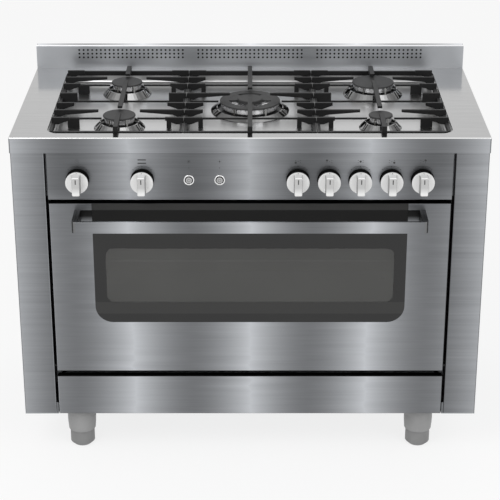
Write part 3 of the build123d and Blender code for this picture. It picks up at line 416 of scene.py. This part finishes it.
def worktop_steel():
    """Satin sheet, nearly a mirror: duller in the well, a painted highlight along its front edge's curve,
    brushed with painted bands of sheen on its skirt.
    """
    mat, tree, shader = start("worktop_steel", neutral(0.47), roughness=0.13, metallic=1.0)
    x, y, z = axes(tree)
    normal = turned(tree)
    fine = noise(tree, (8, 380, 60), detail=4.0)
    satin = ramp(tree, fine, [(0.2, neutral(0.38)), (0.8, neutral(0.48))])
    sunk = below(tree, z, WELL_TOP)
    satin = mix(tree, sunk, satin, neutral(0.57))
    front = below(tree, y, SKIRT_Y)
    bend_highlight = both(tree, above(tree, normal["Z"], LEANING), below(tree, normal["Y"], -LEANING))
    # Painted highlight: near white along the curve of the front edge
    satin = mix(tree, both(tree, bend_highlight, front), satin, neutral(0.86))
    outside = either(tree, above(tree, size_of(tree, x), SKIRT_X), front)
    skirt = both(tree, below(tree, size_of(tree, normal["Z"]), LEANING), outside)
    sheet = banded(tree, dark=0.175, bright=0.50, streak=0.14)[0]
    fill(tree, shader.inputs["Base Color"], mix(tree, skirt, satin, sheet))
    roughness = either(tree, span(tree, fine, 0.10, 0.17), span(tree, sunk, 0.0, 0.28))
    fill(tree, shader.inputs["Roughness"], either(tree, roughness, span(tree, skirt, 0.0, 0.36)))
    raised(tree, shader, fine, strength=0.04, height=POLISH_HEIGHT)
    return mat


# Polished and coated materials
def satin_steel(name, tone, roughness, scale, streak=0.12):
    """Polished metal with a fine grain."""
    mat, tree, shader = start(name, neutral(tone), roughness, metallic=1.0)
    fine = noise(tree, scale, detail=4.0)
    stops = [(0.2, neutral(tone * (1 - streak))), (0.8, neutral(tone * (1 + streak)))]
    fill(tree, shader.inputs["Base Color"], ramp(tree, fine, stops))
    smooth, rough = roughness * 0.8, roughness * 1.3
    textured(tree, shader, fine, smooth, rough, strength=0.04, height=POLISH_HEIGHT)
    return mat


def coated(name, colour, roughness, grain=240, depth=0.15, metallic=0.0, vary=0.18, specular=0.5):
    """Paint, enamel, plastic or cast metal: a mottled colour on a finely pitted skin."""
    mat, tree, shader = start(name, colour, roughness, metallic)
    shader.inputs["Specular IOR Level"].default_value = specular
    fill(tree, shader.inputs["Base Color"], mottled(tree, colour, vary))
    pitted(tree, shader, grain, roughness - 0.07, roughness + 0.09, strength=depth)
    return mat


# Burners: painted reflections as tones round their cones, from the left at 0 to the right at 1
CONE_REFLECTION_TONES = {
    0.16: 0.30,
    0.24: 0.12,
    0.36: 0.32,
    0.46: 0.20,
    0.52: 0.50,
    0.57: 0.74,
    0.64: 0.55,
    0.69: 0.20,
    0.76: 0.10,
    0.85: 0.35,
}

# The normal of a cone's inside, half the room of the wok burner, and the foot of the throats
CONE_INSIDE = -0.05
WOK_REACH = 0.12
THROAT_Z = 0.875


def burner_steel():
    """Polished cones with painted reflections in bands of light and dark round them, and painted shade
    inside; the middle one is darker.
    """
    mat, tree, shader = start("burner_steel", neutral(0.6), roughness=0.10, metallic=1.0)
    normal = turned(tree)
    round_cone = span(tree, normal["X"], 0.0, 1.0, first=-1.0, length=2.0)
    # Painted reflections: tones laid round each cone by the way its faces turn
    colour = ramp(tree, round_cone, [(place, neutral(tone)) for place, tone in CONE_REFLECTION_TONES.items()])
    wok = below(tree, size_of(tree, axes(tree)["X"]), WOK_REACH)
    colour = lifted(tree, colour, span(tree, wok, 1.0, 0.5))
    # Painted shade: near black on the cones' insides
    colour = mix(tree, below(tree, normal["Z"], CONE_INSIDE), colour, neutral(0.02))
    fill(tree, shader.inputs["Base Color"], colour)
    fine = noise(tree, (60, 60, 200), detail=4.0)
    textured(tree, shader, fine, smooth=0.08, rough=0.14, strength=0.04, height=POLISH_HEIGHT)
    return mat


def burner_cast():
    """Dark cast bases whose throats are polished on top."""
    dark = (0.03, 0.03, 0.031)
    mat, tree, shader = start("burner_cast", dark, roughness=0.4, metallic=0.6)
    throat = both(tree, above(tree, turned(tree)["Z"], FACING), above(tree, axes(tree)["Z"], THROAT_Z))
    fill(tree, shader.inputs["Base Color"], mix(tree, throat, mottled(tree, dark), (0.72, 0.72, 0.73)))
    fill(tree, shader.inputs["Metallic"], span(tree, throat, 0.4, 1.0))
    pitted(tree, shader, scale=300, smooth=0.24, rough=0.50, strength=0.1)
    return mat


# Pan supports: where two of them meet, and how wide the painted highlight along the edges there is
SUPPORT_GAP = 0.1685
EDGE_HIGHLIGHT_WIDTH = 0.0022


def cast_iron():
    """Black enamel on cast iron, with painted light on its upper faces and a painted highlight on the edges
    where supports meet.
    """
    mat, tree, shader = start("cast_iron", neutral(0.012), roughness=0.55)
    # Painted light: upward faces are made paler, and the edges where supports meet get a painted highlight
    upper_lit = above(tree, turned(tree)["Z"], FACING)
    black = mottled(tree, (0.010, 0.010, 0.0102))
    enamel = lifted(tree, black, span(tree, upper_lit, 1.0, 2.2))
    from_gap = math_node(tree, "SUBTRACT", size_of(tree, axes(tree)["X"]), SUPPORT_GAP)
    meeting_edge_highlight = both(tree, upper_lit, below(tree, size_of(tree, from_gap), EDGE_HIGHLIGHT_WIDTH))
    fill(tree, shader.inputs["Base Color"], mix(tree, meeting_edge_highlight, enamel, neutral(0.16)))
    fill(tree, shader.inputs["Specular IOR Level"], span(tree, upper_lit, 0.2, 0.3))
    pitted(tree, shader, scale=700, smooth=0.48, rough=0.64, strength=0.25)
    return mat


# Feet: the foot of the sleeve round each
SLEEVE_BOTTOM = 0.047


def foot_grey():
    """Painted feet, with painted shade that makes them darker below the sleeve."""
    mat, tree, shader = start("foot_grey", neutral(0.23), roughness=0.5)
    sleeve = above(tree, axes(tree)["Z"], SLEEVE_BOTTOM)
    paint = mottled(tree, neutral(0.28), vary=0.12)
    # Painted shade: the foot below the sleeve is darkened
    fill(tree, shader.inputs["Base Color"], lifted(tree, paint, span(tree, sleeve, 0.85, 1.15)))
    pitted(tree, shader, scale=500, smooth=0.43, rough=0.59, strength=0.05)
    return mat


# Knobs: how far back the grip's face and rounded edge reach, heights from which painted shade makes them
# greyer, and normals
GRIP_FACE = GRIP_FRONT + 0.0015
GRIP_EDGE = GRIP_FRONT + 0.003
GRIP_GREY = KNOB_Z - 0.018
DISC_FACE = DISC_FRONT - 0.001
DISC_GREY = KNOB_Z + 0.010
KNOB_FADE = 1 / 60
KNOB_FLANK = 0.8
EDGE_FORWARD = 0.3
EDGE_UPWARD = 0.35

# The groove between a button and its ring
GROOVE_INNER = 0.0080
GROOVE_OUTER = 0.0104


def knob_metal():
    """Satin silver on a black neck, with a painted highlight on the grip's upper edge and painted shade that
    greys its front, its flanks and the disc's upper part.
    """
    mat, tree, shader = start("knob_metal", (0.72, 0.72, 0.71), roughness=0.38, metallic=0.2)
    _, y, z = axes(tree)
    normal = turned(tree)
    silver = mottled(tree, (0.82, 0.82, 0.815), vary=0.04)
    # Painted shade: the grip's upper front, its flanks and the disc's upper part are greyed
    upper = span(tree, z, 0.0, 1.0, first=GRIP_GREY, length=KNOB_FADE)
    front = both(tree, below(tree, y, GRIP_FACE), upper)
    silver = lifted(tree, silver, span(tree, front, 1.0, 0.62))
    flank_shade = both(tree, above(tree, size_of(tree, normal["X"]), KNOB_FLANK), below(tree, y, DISC_FACE))
    silver = lifted(tree, silver, span(tree, flank_shade, 1.0, 0.40))
    disc_head_shade = span(tree, z, 0.0, 1.0, first=DISC_GREY, length=KNOB_FADE)
    silver = lifted(tree, silver, span(tree, both(tree, above(tree, y, DISC_FACE), disc_head_shade), 1.0, 0.80))
    # Painted highlight: near white on the rounded edge between the grip's top and front
    rounded = both(tree, below(tree, normal["Y"], -EDGE_FORWARD), above(tree, normal["Z"], EDGE_UPWARD))
    silver = mix(tree, both(tree, rounded, below(tree, y, GRIP_EDGE)), silver, neutral(0.98))
    neck = above(tree, y, NECK_FRONT)
    fill(tree, shader.inputs["Base Color"], mix(tree, neck, silver, neutral(0.008)))
    fill(tree, shader.inputs["Specular IOR Level"], span(tree, neck, 0.5, 0.1))
    pitted(tree, shader, scale=900, smooth=0.31, rough=0.47, strength=0.04)
    return mat


def button_steel(name, tone, roughness, metallic):
    """Push buttons and the rings round them, with a dark groove between the two."""
    mat, tree, shader = start(name, neutral(tone), roughness, metallic)
    x, _, z = axes(tree)
    middle = (BUTTON_X["light"] + BUTTON_X["ignition"]) / 2
    from_middle = size_of(tree, math_node(tree, "SUBTRACT", x, middle))
    across = math_node(tree, "SUBTRACT", from_middle, BUTTON_X["ignition"] - middle)
    radius = slant(tree, across, math_node(tree, "SUBTRACT", z, KNOB_Z))
    groove = between(tree, radius, GROOVE_INNER, GROOVE_OUTER)
    metal = mottled(tree, neutral(tone), vary=0.05)
    fill(tree, shader.inputs["Base Color"], mix(tree, groove, metal, neutral(0.03)))
    pitted(tree, shader, 900, roughness - 0.05, roughness + 0.06, strength=0.03)
    return mat


# Oven glass: its clear window, the paler strip of border below that, and the foot of the painted shade
# behind the bar
WINDOW_HALF = 0.369
WINDOW_Z = 0.5235
WINDOW_RISE = 0.0755
WINDOW_CORNER = 0.02
FOOT_STRIP = 0.415
GLASS_SHADE_FOOT = HANDLE_TOP - 0.034


def window_glass():
    """Tinted oven glass with a printed border, which leaves a clear window with rounded corners; painted
    light makes the glass above the bar paler, and painted shade dims its reflection behind the bar.
    """
    mat, tree, shader = start("oven_glass", neutral(0.006), roughness=0.04)
    x, _, z = axes(tree)
    across = math_node(tree, "SUBTRACT", size_of(tree, x), WINDOW_HALF - WINDOW_CORNER)
    height = size_of(tree, math_node(tree, "SUBTRACT", z, WINDOW_Z))
    upward = math_node(tree, "SUBTRACT", height, WINDOW_RISE - WINDOW_CORNER)
    past_corner = slant(tree, either(tree, across, 0.0), either(tree, upward, 0.0))
    clear = below(tree, past_corner, WINDOW_CORNER)
    smoke = noise(tree, (3, 3, 3))
    border = ramp(tree, smoke, [(0.3, neutral(0.005)), (0.7, (0.009, 0.009, 0.0085))])
    foot_strip = between(tree, z, FOOT_STRIP, WINDOW_Z - WINDOW_RISE)
    border = mix(tree, foot_strip, border, (0.018, 0.018, 0.017))
    # Painted reflection: the glass above the handle bar is made paler
    border = mix(tree, above(tree, z, HANDLE_TOP), border, (0.050, 0.050, 0.049))
    pale = ramp(tree, smoke, [(0.3, (0.083, 0.083, 0.079)), (0.7, (0.107, 0.107, 0.102))])
    fill(tree, shader.inputs["Base Color"], mix(tree, clear, border, pale))
    fill(tree, shader.inputs["Alpha"], span(tree, clear, 1.0, 0.58))
    # Painted shade: the glass behind the bar reflects less
    bar_shade = between(tree, z, GLASS_SHADE_FOOT, HANDLE_TOP)
    fill(tree, shader.inputs["Specular IOR Level"], span(tree, bar_shade, 0.5, 0.14))
    fill(tree, shader.inputs["Roughness"], span(tree, smoke, 0.03, 0.05))
    return mat


def clear_glass():
    """The door's inner pane, faintly clouded."""
    mat, tree, shader = start("inner_glass", (0.6, 0.62, 0.62), roughness=0.03)
    stops = [(0.3, (0.30, 0.31, 0.31)), (0.7, (0.36, 0.37, 0.37))]
    fill(tree, shader.inputs["Base Color"], ramp(tree, noise(tree, (5, 5, 5)), stops))
    shader.inputs["Alpha"].default_value = 0.15
    return mat


# One material for each of the part's material slots
COATINGS = {
    "galvanised_steel": dict(colour=(0.40, 0.42, 0.43), roughness=0.45, grain=60, depth=0.08, metallic=0.7),
    "liner_steel": dict(colour=(0.02, 0.02, 0.022), roughness=0.3),
    "oven_enamel": dict(colour=(0.02, 0.02, 0.022), roughness=0.28),
    "hinge_steel": dict(colour=(0.03, 0.03, 0.031), roughness=0.5, grain=120, depth=0.06, metallic=0.5),
    "burner_alloy": dict(
        colour=(0.62, 0.62, 0.63), roughness=0.24, grain=200, depth=0.03, metallic=0.95, vary=0.22
    ),
    "cap_enamel": dict(colour=(0.036, 0.036, 0.0365), roughness=0.55, grain=900, depth=0.12, specular=0.3),
    "spark_ceramic": dict(colour=(0.30, 0.30, 0.29), roughness=0.35),
    "sensor_metal": dict(colour=(0.16, 0.155, 0.145), roughness=0.35, grain=200, depth=0.05, metallic=1.0),
    "gas_pipe": dict(colour=(0.38, 0.39, 0.40), roughness=0.4, grain=120, depth=0.06, metallic=0.9),
    "tap_brass": dict(colour=(0.60, 0.45, 0.20), roughness=0.35, grain=160, depth=0.06, metallic=1.0),
    "feed_aluminium": dict(colour=(0.62, 0.62, 0.63), roughness=0.35, grain=160, depth=0.05, metallic=1.0),
    "bezel_black": dict(colour=neutral(0.004), roughness=0.45, grain=900, depth=0.05, specular=0.08),
    "timer_plastic": dict(colour=(0.07, 0.07, 0.075), roughness=0.5),
    "mineral_wool": dict(colour=(0.60, 0.53, 0.30), roughness=0.9, grain=500, depth=0.8),
    "seal_rubber": dict(colour=neutral(0.02), roughness=0.8, grain=900, depth=0.4),
    "oven_burner_steel": dict(colour=(0.36, 0.35, 0.34), roughness=0.4, grain=150, depth=0.1, metallic=0.9),
    "grill_tube": dict(colour=(0.10, 0.095, 0.09), roughness=0.5, grain=400, depth=0.1, metallic=0.5),
}
finish = {
    "body_steel": body_steel(),
    "door_steel": door_steel(),
    "panel_steel": panel_steel(),
    "handle_steel": handle_steel(),
    "worktop_steel": worktop_steel(),
    "door_glass": window_glass(),
    "inner_glass": clear_glass(),
    "cast_iron": cast_iron(),
    "burner_steel": burner_steel(),
    "burner_cast": burner_cast(),
    "knob_metal": knob_metal(),
    "spindle_steel": satin_steel("spindle_steel", tone=0.55, roughness=0.25, scale=(40, 400, 40)),
    "button_metal": button_steel("button_metal", tone=0.42, roughness=0.3, metallic=0.6),
    "switch_metal": button_steel("switch_metal", tone=0.85, roughness=0.2, metallic=1.0),
    "chrome_wire": satin_steel("chrome_wire", tone=0.75, roughness=0.12, scale=(200, 200, 200), streak=0.05),
    "foot_grey": foot_grey(),
}
for name, look in COATINGS.items():
    finish[name] = coated(name, **look)
for entry in frame["record"]["subparts"]:
    for holder in nodes[entry["node"]].material_slots:
        holder.material = finish[entry["material_slot"]]
print_black = coated("print_black", neutral(0.02), roughness=0.5)


# Mesh helpers for the added pieces
def piece(name, bm, body, mat):
    """Turn the drawn shapes into a piece that moves with a body."""
    bmesh.ops.recalc_face_normals(bm, faces=bm.faces)
    mesh = bpy.data.meshes.new(name)
    bm.to_mesh(mesh)
    bm.free()
    thing = bpy.data.objects.new(name, mesh)
    bpy.context.collection.objects.link(thing)
    mesh.materials.append(mat)
    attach(thing, body)
    return thing


def prism(bm, near, far):
    """A closed solid between two outlines with as many points."""
    ring = [bm.verts.new(point) for point in near]
    rear = [bm.verts.new(point) for point in far]
    count = len(ring)
    bm.faces.new(ring)
    bm.faces.new(rear[::-1])
    for i in range(count):
        after = (i + 1) % count
        bm.faces.new((ring[i], rear[i], rear[after], ring[after]))


def plate(bm, x, z, points, y, depth=INK):
    """An upright flat shape, given by points about (x, z), standing out of the plane at y by depth."""
    near = [(x + px, y - depth, z + pz) for px, pz in points]
    prism(bm, near, [(px, y, pz) for px, _, pz in near])


def slab(bm, x, y, points, low, high):
    """A level flat shape, given by points about (x, y), between two heights."""
    near = [(x + px, y + py, high) for px, py in points]
    prism(bm, near, [(px, py, low) for px, py, _ in near])


def around(radius, turn):
    """The point at a radius and an angle in degrees."""
    return radius * math.cos(math.radians(turn)), radius * math.sin(math.radians(turn))


def even_turns(count):
    """Angles that part a full turn evenly."""
    return [360 * i / count for i in range(count)]


def disc(radius, count=16):
    return [around(radius, turn) for turn in even_turns(count)]


def bar(width, height):
    """A rectangle about its middle."""
    x, z = width / 2, height / 2
    return [(-x, -z), (x, -z), (x, z), (-x, z)]


def arc(inner, outer, first, last, steps=10):
    """A strip bent round a centre, between two radii and two angles."""
    turns = [first + (last - first) * i / steps for i in range(steps + 1)]
    return [around(outer, turn) for turn in turns] + [around(inner, turn) for turn in reversed(turns)]


def revolve(bm, x, y, profile, count=72):
    """A solid made by turning a closed profile of (radius, height) points about an upright axis."""
    rows = []
    for radius, z in profile:
        if radius:
            rows.append([bm.verts.new((x + px, y + py, z)) for px, py in disc(radius, count)])
        else:
            rows.append([bm.verts.new((x, y, z))] * count)
    for i, row in enumerate(rows):
        next_row = rows[(i + 1) % len(rows)]
        for k in range(count):
            after = (k + 1) % count
            # On the axis two corners are one, and a face with fewer than three is left out
            corners = dict.fromkeys((row[k], row[after], next_row[after], next_row[k]))
            if len(corners) > 2:
                bm.faces.new(tuple(corners))


# Signs printed on the control panel: burner places, grill bars, a clock, a lamp and a spark
ICON_Z = 0.8365
BURNER_DOTS = {
    "front_left": (-1, -1),
    "rear_left": (-1, 1),
    "wok": (0, 0),
    "front_right": (1, -1),
    "rear_right": (1, 1),
}
DOT_STEP_X = 0.006
DOT_STEP_Z = 0.003
OWN_DOT = 0.0027
OTHER_DOT = 0.0009
GRILL_LENGTH = 0.021
GRILL_LINE = 0.0026
GRILL_RISE = 0.0045
CLOCK_RADIUS = 0.005
CLOCK_HOURS = 12
CLOCK_DOT = 0.0006
CLOCK_LINE = 0.0008
LONG_HAND = 0.003
SHORT_HAND = 0.002
SIGN_RAYS = {"light": 8, "ignition": 4}
RAY_RADIUS = 0.0036
RAY_DOT = 0.0007
SIGN_MIDDLE = 0.0016
BUTTON_DOT = 0.0011
BUTTON_DOT_DROP = 0.017


def dots(bm, x, z, radius, turns, size, count):
    """Dots at some angles round a middle on the panel."""
    for turn in turns:
        px, pz = around(radius, turn)
        plate(bm, x + px, z + pz, disc(size, count), FRONT)


def burner_sign(bm, name):
    """A dot for each burner, the largest for the knob's own."""
    for burner, (across, upward) in BURNER_DOTS.items():
        size = OWN_DOT if burner == name else OTHER_DOT
        plate(bm, KNOB_X[name] + across * DOT_STEP_X, ICON_Z + upward * DOT_STEP_Z, disc(size), FRONT)


def grill_sign(bm, x):
    for lift in (-GRILL_RISE, GRILL_RISE):
        plate(bm, x, ICON_Z + lift, bar(GRILL_LENGTH, GRILL_LINE), FRONT)


def clock_sign(bm, x):
    dots(bm, x, ICON_Z, CLOCK_RADIUS, even_turns(CLOCK_HOURS), CLOCK_DOT, count=8)
    plate(bm, x, ICON_Z + LONG_HAND / 2, bar(CLOCK_LINE, LONG_HAND), FRONT)
    plate(bm, x + SHORT_HAND / 2, ICON_Z, bar(SHORT_HAND, CLOCK_LINE), FRONT)


def button_sign(bm, x, rays):
    """A middle with rays, for a lamp or a spark, and a dot below it."""
    plate(bm, x, ICON_Z - BUTTON_DOT_DROP, disc(BUTTON_DOT), FRONT)
    plate(bm, x, ICON_Z, disc(SIGN_MIDDLE), FRONT)
    dots(bm, x, ICON_Z, RAY_RADIUS, even_turns(rays), RAY_DOT, count=8)


# Dial round the upper part of each knob: a thin arc and three dots
DIAL_RADIUS = 0.0362
DIAL_LINE = 0.0006
DIAL_FIRST = 58
DIAL_LAST = 122
DIAL_DOT_RADIUS = 0.0350
DIAL_DOT = 0.0011
DIAL_DOT_TURNS = (50, 90, 130)


def dial(bm, x):
    plate(bm, x, KNOB_Z, arc(DIAL_RADIUS, DIAL_RADIUS + DIAL_LINE, DIAL_FIRST, DIAL_LAST), FRONT)
    dots(bm, x, KNOB_Z, DIAL_DOT_RADIUS, DIAL_DOT_TURNS, DIAL_DOT, count=10)


bm = bmesh.new()
for name in BURNER_DOTS:
    burner_sign(bm, name)
grill_sign(bm, KNOB_X["oven"])
clock_sign(bm, KNOB_X["timer"])
for name, x in BUTTON_X.items():
    button_sign(bm, x, SIGN_RAYS[name])
for x in KNOB_X.values():
    dial(bm, x)
piece("panel_signs", bm, "cooker", print_black)

# Pointer line and dot on each knob, small ring on each button
POINTER_WIDTH = 0.0024
POINTER_LENGTH = 0.012
POINTER_Z = KNOB_Z + 0.0135
POINTER_DOT = 0.0010
POINTER_DOT_Z = KNOB_Z + 0.0263
RING_INNER = 0.0032
RING_OUTER = 0.0040
RING_TURN = 352
for name, x in KNOB_X.items():
    bm = bmesh.new()
    plate(bm, x, POINTER_Z, bar(POINTER_WIDTH, POINTER_LENGTH), GRIP_FRONT)
    plate(bm, x, POINTER_DOT_Z, disc(POINTER_DOT, count=10), DISC_FRONT)
    piece(f"knob_pointer_{name}", bm, f"knob_{name}", print_black)
for name, x in BUTTON_X.items():
    bm = bmesh.new()
    plate(bm, x, KNOB_Z, arc(RING_INNER, RING_OUTER, 0, RING_TURN, steps=22), BUTTON_FRONT)
    piece(f"button_ring_{name}", bm, f"button_{name}", print_black)

# Inner half of each leg of the handle: a leg is twice as thick as the bar
BEVEL = 0.001
leg_middle = (HANDLE_TOP + HANDLE_BOTTOM) / 2
leg_half = (HANDLE_TOP - HANDLE_BOTTOM) / 2
for name, side in SIDES.items():
    bm = bmesh.new()
    outline = [
        (0, -leg_half),
        (0, leg_half),
        (-side * (HANDLE_SHEET - BEVEL), leg_half),
        (-side * HANDLE_SHEET, leg_half - BEVEL),
        (-side * HANDLE_SHEET, BEVEL - leg_half),
        (-side * (HANDLE_SHEET - BEVEL), -leg_half),
    ]
    plate(bm, side * (HANDLE_END - HANDLE_SHEET), leg_middle, outline, FRONT, HANDLE_REACH - HANDLE_SHEET)
    piece(f"handle_leg_{name}", bm, "door", finish["handle_steel"])

# Small tabs on the columns that close the foot of the gap beside the flap
TAB_FOOT = 0.1215
TAB_HEIGHT = 0.0315
TAB_WIDTH = 0.0051
TAB_SHEET = 0.001
TAB_CLEAR = 0.0001
for name, side in SIDES.items():
    bm = bmesh.new()
    outline = [
        (0, 0),
        (0, TAB_HEIGHT),
        (-side * (TAB_WIDTH - BEVEL), TAB_HEIGHT),
        (-side * TAB_WIDTH, TAB_HEIGHT - BEVEL),
        (-side * TAB_WIDTH, 0),
    ]
    plate(bm, side * (JAMB - TAB_CLEAR), TAB_FOOT, outline, FRONT + TAB_SHEET + TAB_CLEAR, TAB_SHEET)
    piece(f"gap_tab_{name}", bm, "cooker", finish["body_steel"])

# Burner caps: x, y and radius of each plain one
BURNER_X = 0.337
BURNER_REAR = 0.185
BURNER_FRONT = -0.092
CAPS = {
    "rear_left": (-BURNER_X, BURNER_REAR, 0.042),
    "front_left": (-BURNER_X, BURNER_FRONT, 0.042),
    "rear_right": (BURNER_X, BURNER_REAR, 0.057),
    "front_right": (BURNER_X, BURNER_FRONT, 0.031),
}
CAP_SHEET = 0.004
CAP_TOP = WORKTOP_Z + 0.0035
CAP_EDGE = 0.0022
EDGE_STEPS = 4

# The wok burner's cap: a ring joined to a raised inner cap by spokes, given by their angles and half widths
WOK_Y = 0.0465
WOK_TOP = WORKTOP_Z - 0.003
WOK_FOOT = WOK_TOP - CAP_SHEET
WOK_RING_OUTER = 0.080
WOK_RING_INNER = 0.056
WOK_INNER = 0.033
WOK_RISE = 0.005
WOK_SPOKES = {270: 14, 25: 29, 155: 29}
SPOKE_OVERLAP = 0.002


def cap(bm, x, y, radius, top, foot, hole=0):
    """A flat cap with a rounded upper edge, or a ring if it has a hole."""
    turns = [90 - 90 * i / EDGE_STEPS for i in range(EDGE_STEPS + 1)]
    steps = [around(CAP_EDGE, turn) for turn in turns]
    edge = [(radius - CAP_EDGE + px, top - CAP_EDGE + pz) for px, pz in steps]
    revolve(bm, x, y, [(hole, top)] + edge + [(radius, foot), (hole, foot)])


bm = bmesh.new()
for x, y, radius in CAPS.values():
    cap(bm, x, y, radius, CAP_TOP, CAP_TOP - CAP_SHEET)
cap(bm, 0, WOK_Y, WOK_RING_OUTER, WOK_TOP, WOK_FOOT, hole=WOK_RING_INNER)
cap(bm, 0, WOK_Y, WOK_INNER, WOK_TOP + WOK_RISE, WOK_FOOT)
for turn, half in WOK_SPOKES.items():
    spoke = arc(WOK_INNER - SPOKE_OVERLAP, WOK_RING_INNER + SPOKE_OVERLAP, turn - half, turn + half)
    slab(bm, 0, WOK_Y, spoke, WOK_FOOT + INK, WOK_TOP - INK)
caps = piece("caps", bm, "cooker", finish["cap_enamel"])
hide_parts("burner_caps")

# Polished ribs that show through the slots of the wok burner's cap
RIBS = 24
RIB_TURN = 9
RIB_HEIGHT = 0.003
RIB_OVERLAP = 0.003
bm = bmesh.new()
for first in even_turns(RIBS):
    rib = arc(WOK_INNER - RIB_OVERLAP, WOK_RING_INNER + RIB_OVERLAP, first, first + RIB_TURN, steps=2)
    slab(bm, 0, WOK_Y, rib, WOK_FOOT - RIB_HEIGHT, WOK_FOOT)
piece("wok_ribs", bm, "cooker", finish["burner_alloy"])

# Studio: a pale floor and an even white surround, which metal and glass show too
FLOOR_HALF = 30.0
FLOOR_GLOW = 0.8
SKY_LIGHT = 0.72
floor_mesh = bpy.data.meshes.new("floor")
corners = [(x, y, 0) for x, y in bar(2 * FLOOR_HALF, 2 * FLOOR_HALF)]
floor_mesh.from_pydata(corners, [], [(0, 1, 2, 3)])
floor = bpy.data.objects.new("floor", floor_mesh)
bpy.context.collection.objects.link(floor)


def shown(tree):
    """1 for rays from the camera and for what metal and glass show, else 0."""
    path = tree.nodes.new("ShaderNodeLightPath")
    seen = either(tree, path.outputs["Is Camera Ray"], path.outputs["Is Glossy Ray"])
    return either(tree, seen, path.outputs["Is Transmission Ray"])


floor_mat = bpy.data.materials.new("floor_white")
floor_mat.use_nodes = True
tree = floor_mat.node_tree
tree.nodes.clear()
paper = ramp(tree, noise(tree, (2, 2, 2), detail=2.0), [(0.3, neutral(0.86)), (0.7, neutral(0.88))])
matte = put(tree, "ShaderNodeBsdfDiffuse", Color=paper)
glow = put(tree, "ShaderNodeEmission", Color=neutral(1), Strength=1.0)
floor_shader = put(tree, "ShaderNodeMixShader", Fac=math_node(tree, "MULTIPLY", shown(tree), FLOOR_GLOW))
tree.links.new(matte.outputs[0], floor_shader.inputs[1])
tree.links.new(glow.outputs[0], floor_shader.inputs[2])
put(tree, "ShaderNodeOutputMaterial", Surface=floor_shader.outputs[0])
floor_mesh.materials.append(floor_mat)

world = bpy.data.worlds.new("studio")
bpy.context.scene.world = world
world.use_nodes = True
tree = world.node_tree
tree.nodes.clear()
light_level = span(tree, shown(tree), SKY_LIGHT, 1.0)
sky = put(tree, "ShaderNodeBackground", Color=neutral(1), Strength=light_level)
put(tree, "ShaderNodeOutputWorld", Surface=sky.outputs[0])

# Two soft lamps, both turned to the middle of the cooker
LAMP_AIM = Vector((0, 0, 0.6))
LAMP_SIZE = 2.0


def lamp(name, place, energy):
    light = bpy.data.lights.new(name, "AREA")
    light.shape = "RECTANGLE"
    light.size = LAMP_SIZE
    light.size_y = LAMP_SIZE
    light.energy = energy
    holder = bpy.data.objects.new(name, light)
    holder.location = place
    holder.rotation_euler = (LAMP_AIM - Vector(place)).to_track_quat("-Z", "Y").to_euler()
    holder.visible_camera = False
    bpy.context.collection.objects.link(holder)


lamp("key", (-1.8, -2.2, 3.2), energy=45)
lamp("fill", (2.2, -2.4, 2.4), energy=22)

# The camera fitted to the photograph: lens in its pixels, place from the worktop's front, pitch and shift
PHOTO_WIDTH = 500
FOCAL_PIXELS = 1577.2
SENSOR = 36
CAMERA_DISTANCE = 3.682
CAMERA_RISE = 1.326
CAMERA_PITCH = 22.07
CAMERA_SHIFT = -0.1
camera = bpy.data.cameras.new("camera")
camera.lens = FOCAL_PIXELS * SENSOR / PHOTO_WIDTH
camera.sensor_width = SENSOR
camera.shift_y = CAMERA_SHIFT
camera.clip_end = 100
holder = bpy.data.objects.new("camera", camera)
holder.location = (0, FRONT - CAMERA_DISTANCE, WORKTOP_Z + CAMERA_RISE)
holder.rotation_euler = (math.radians(90 - CAMERA_PITCH), 0, 0)
bpy.context.collection.objects.link(holder)
scene = bpy.context.scene
scene.camera = holder
scene.view_settings.view_transform = "Standard"
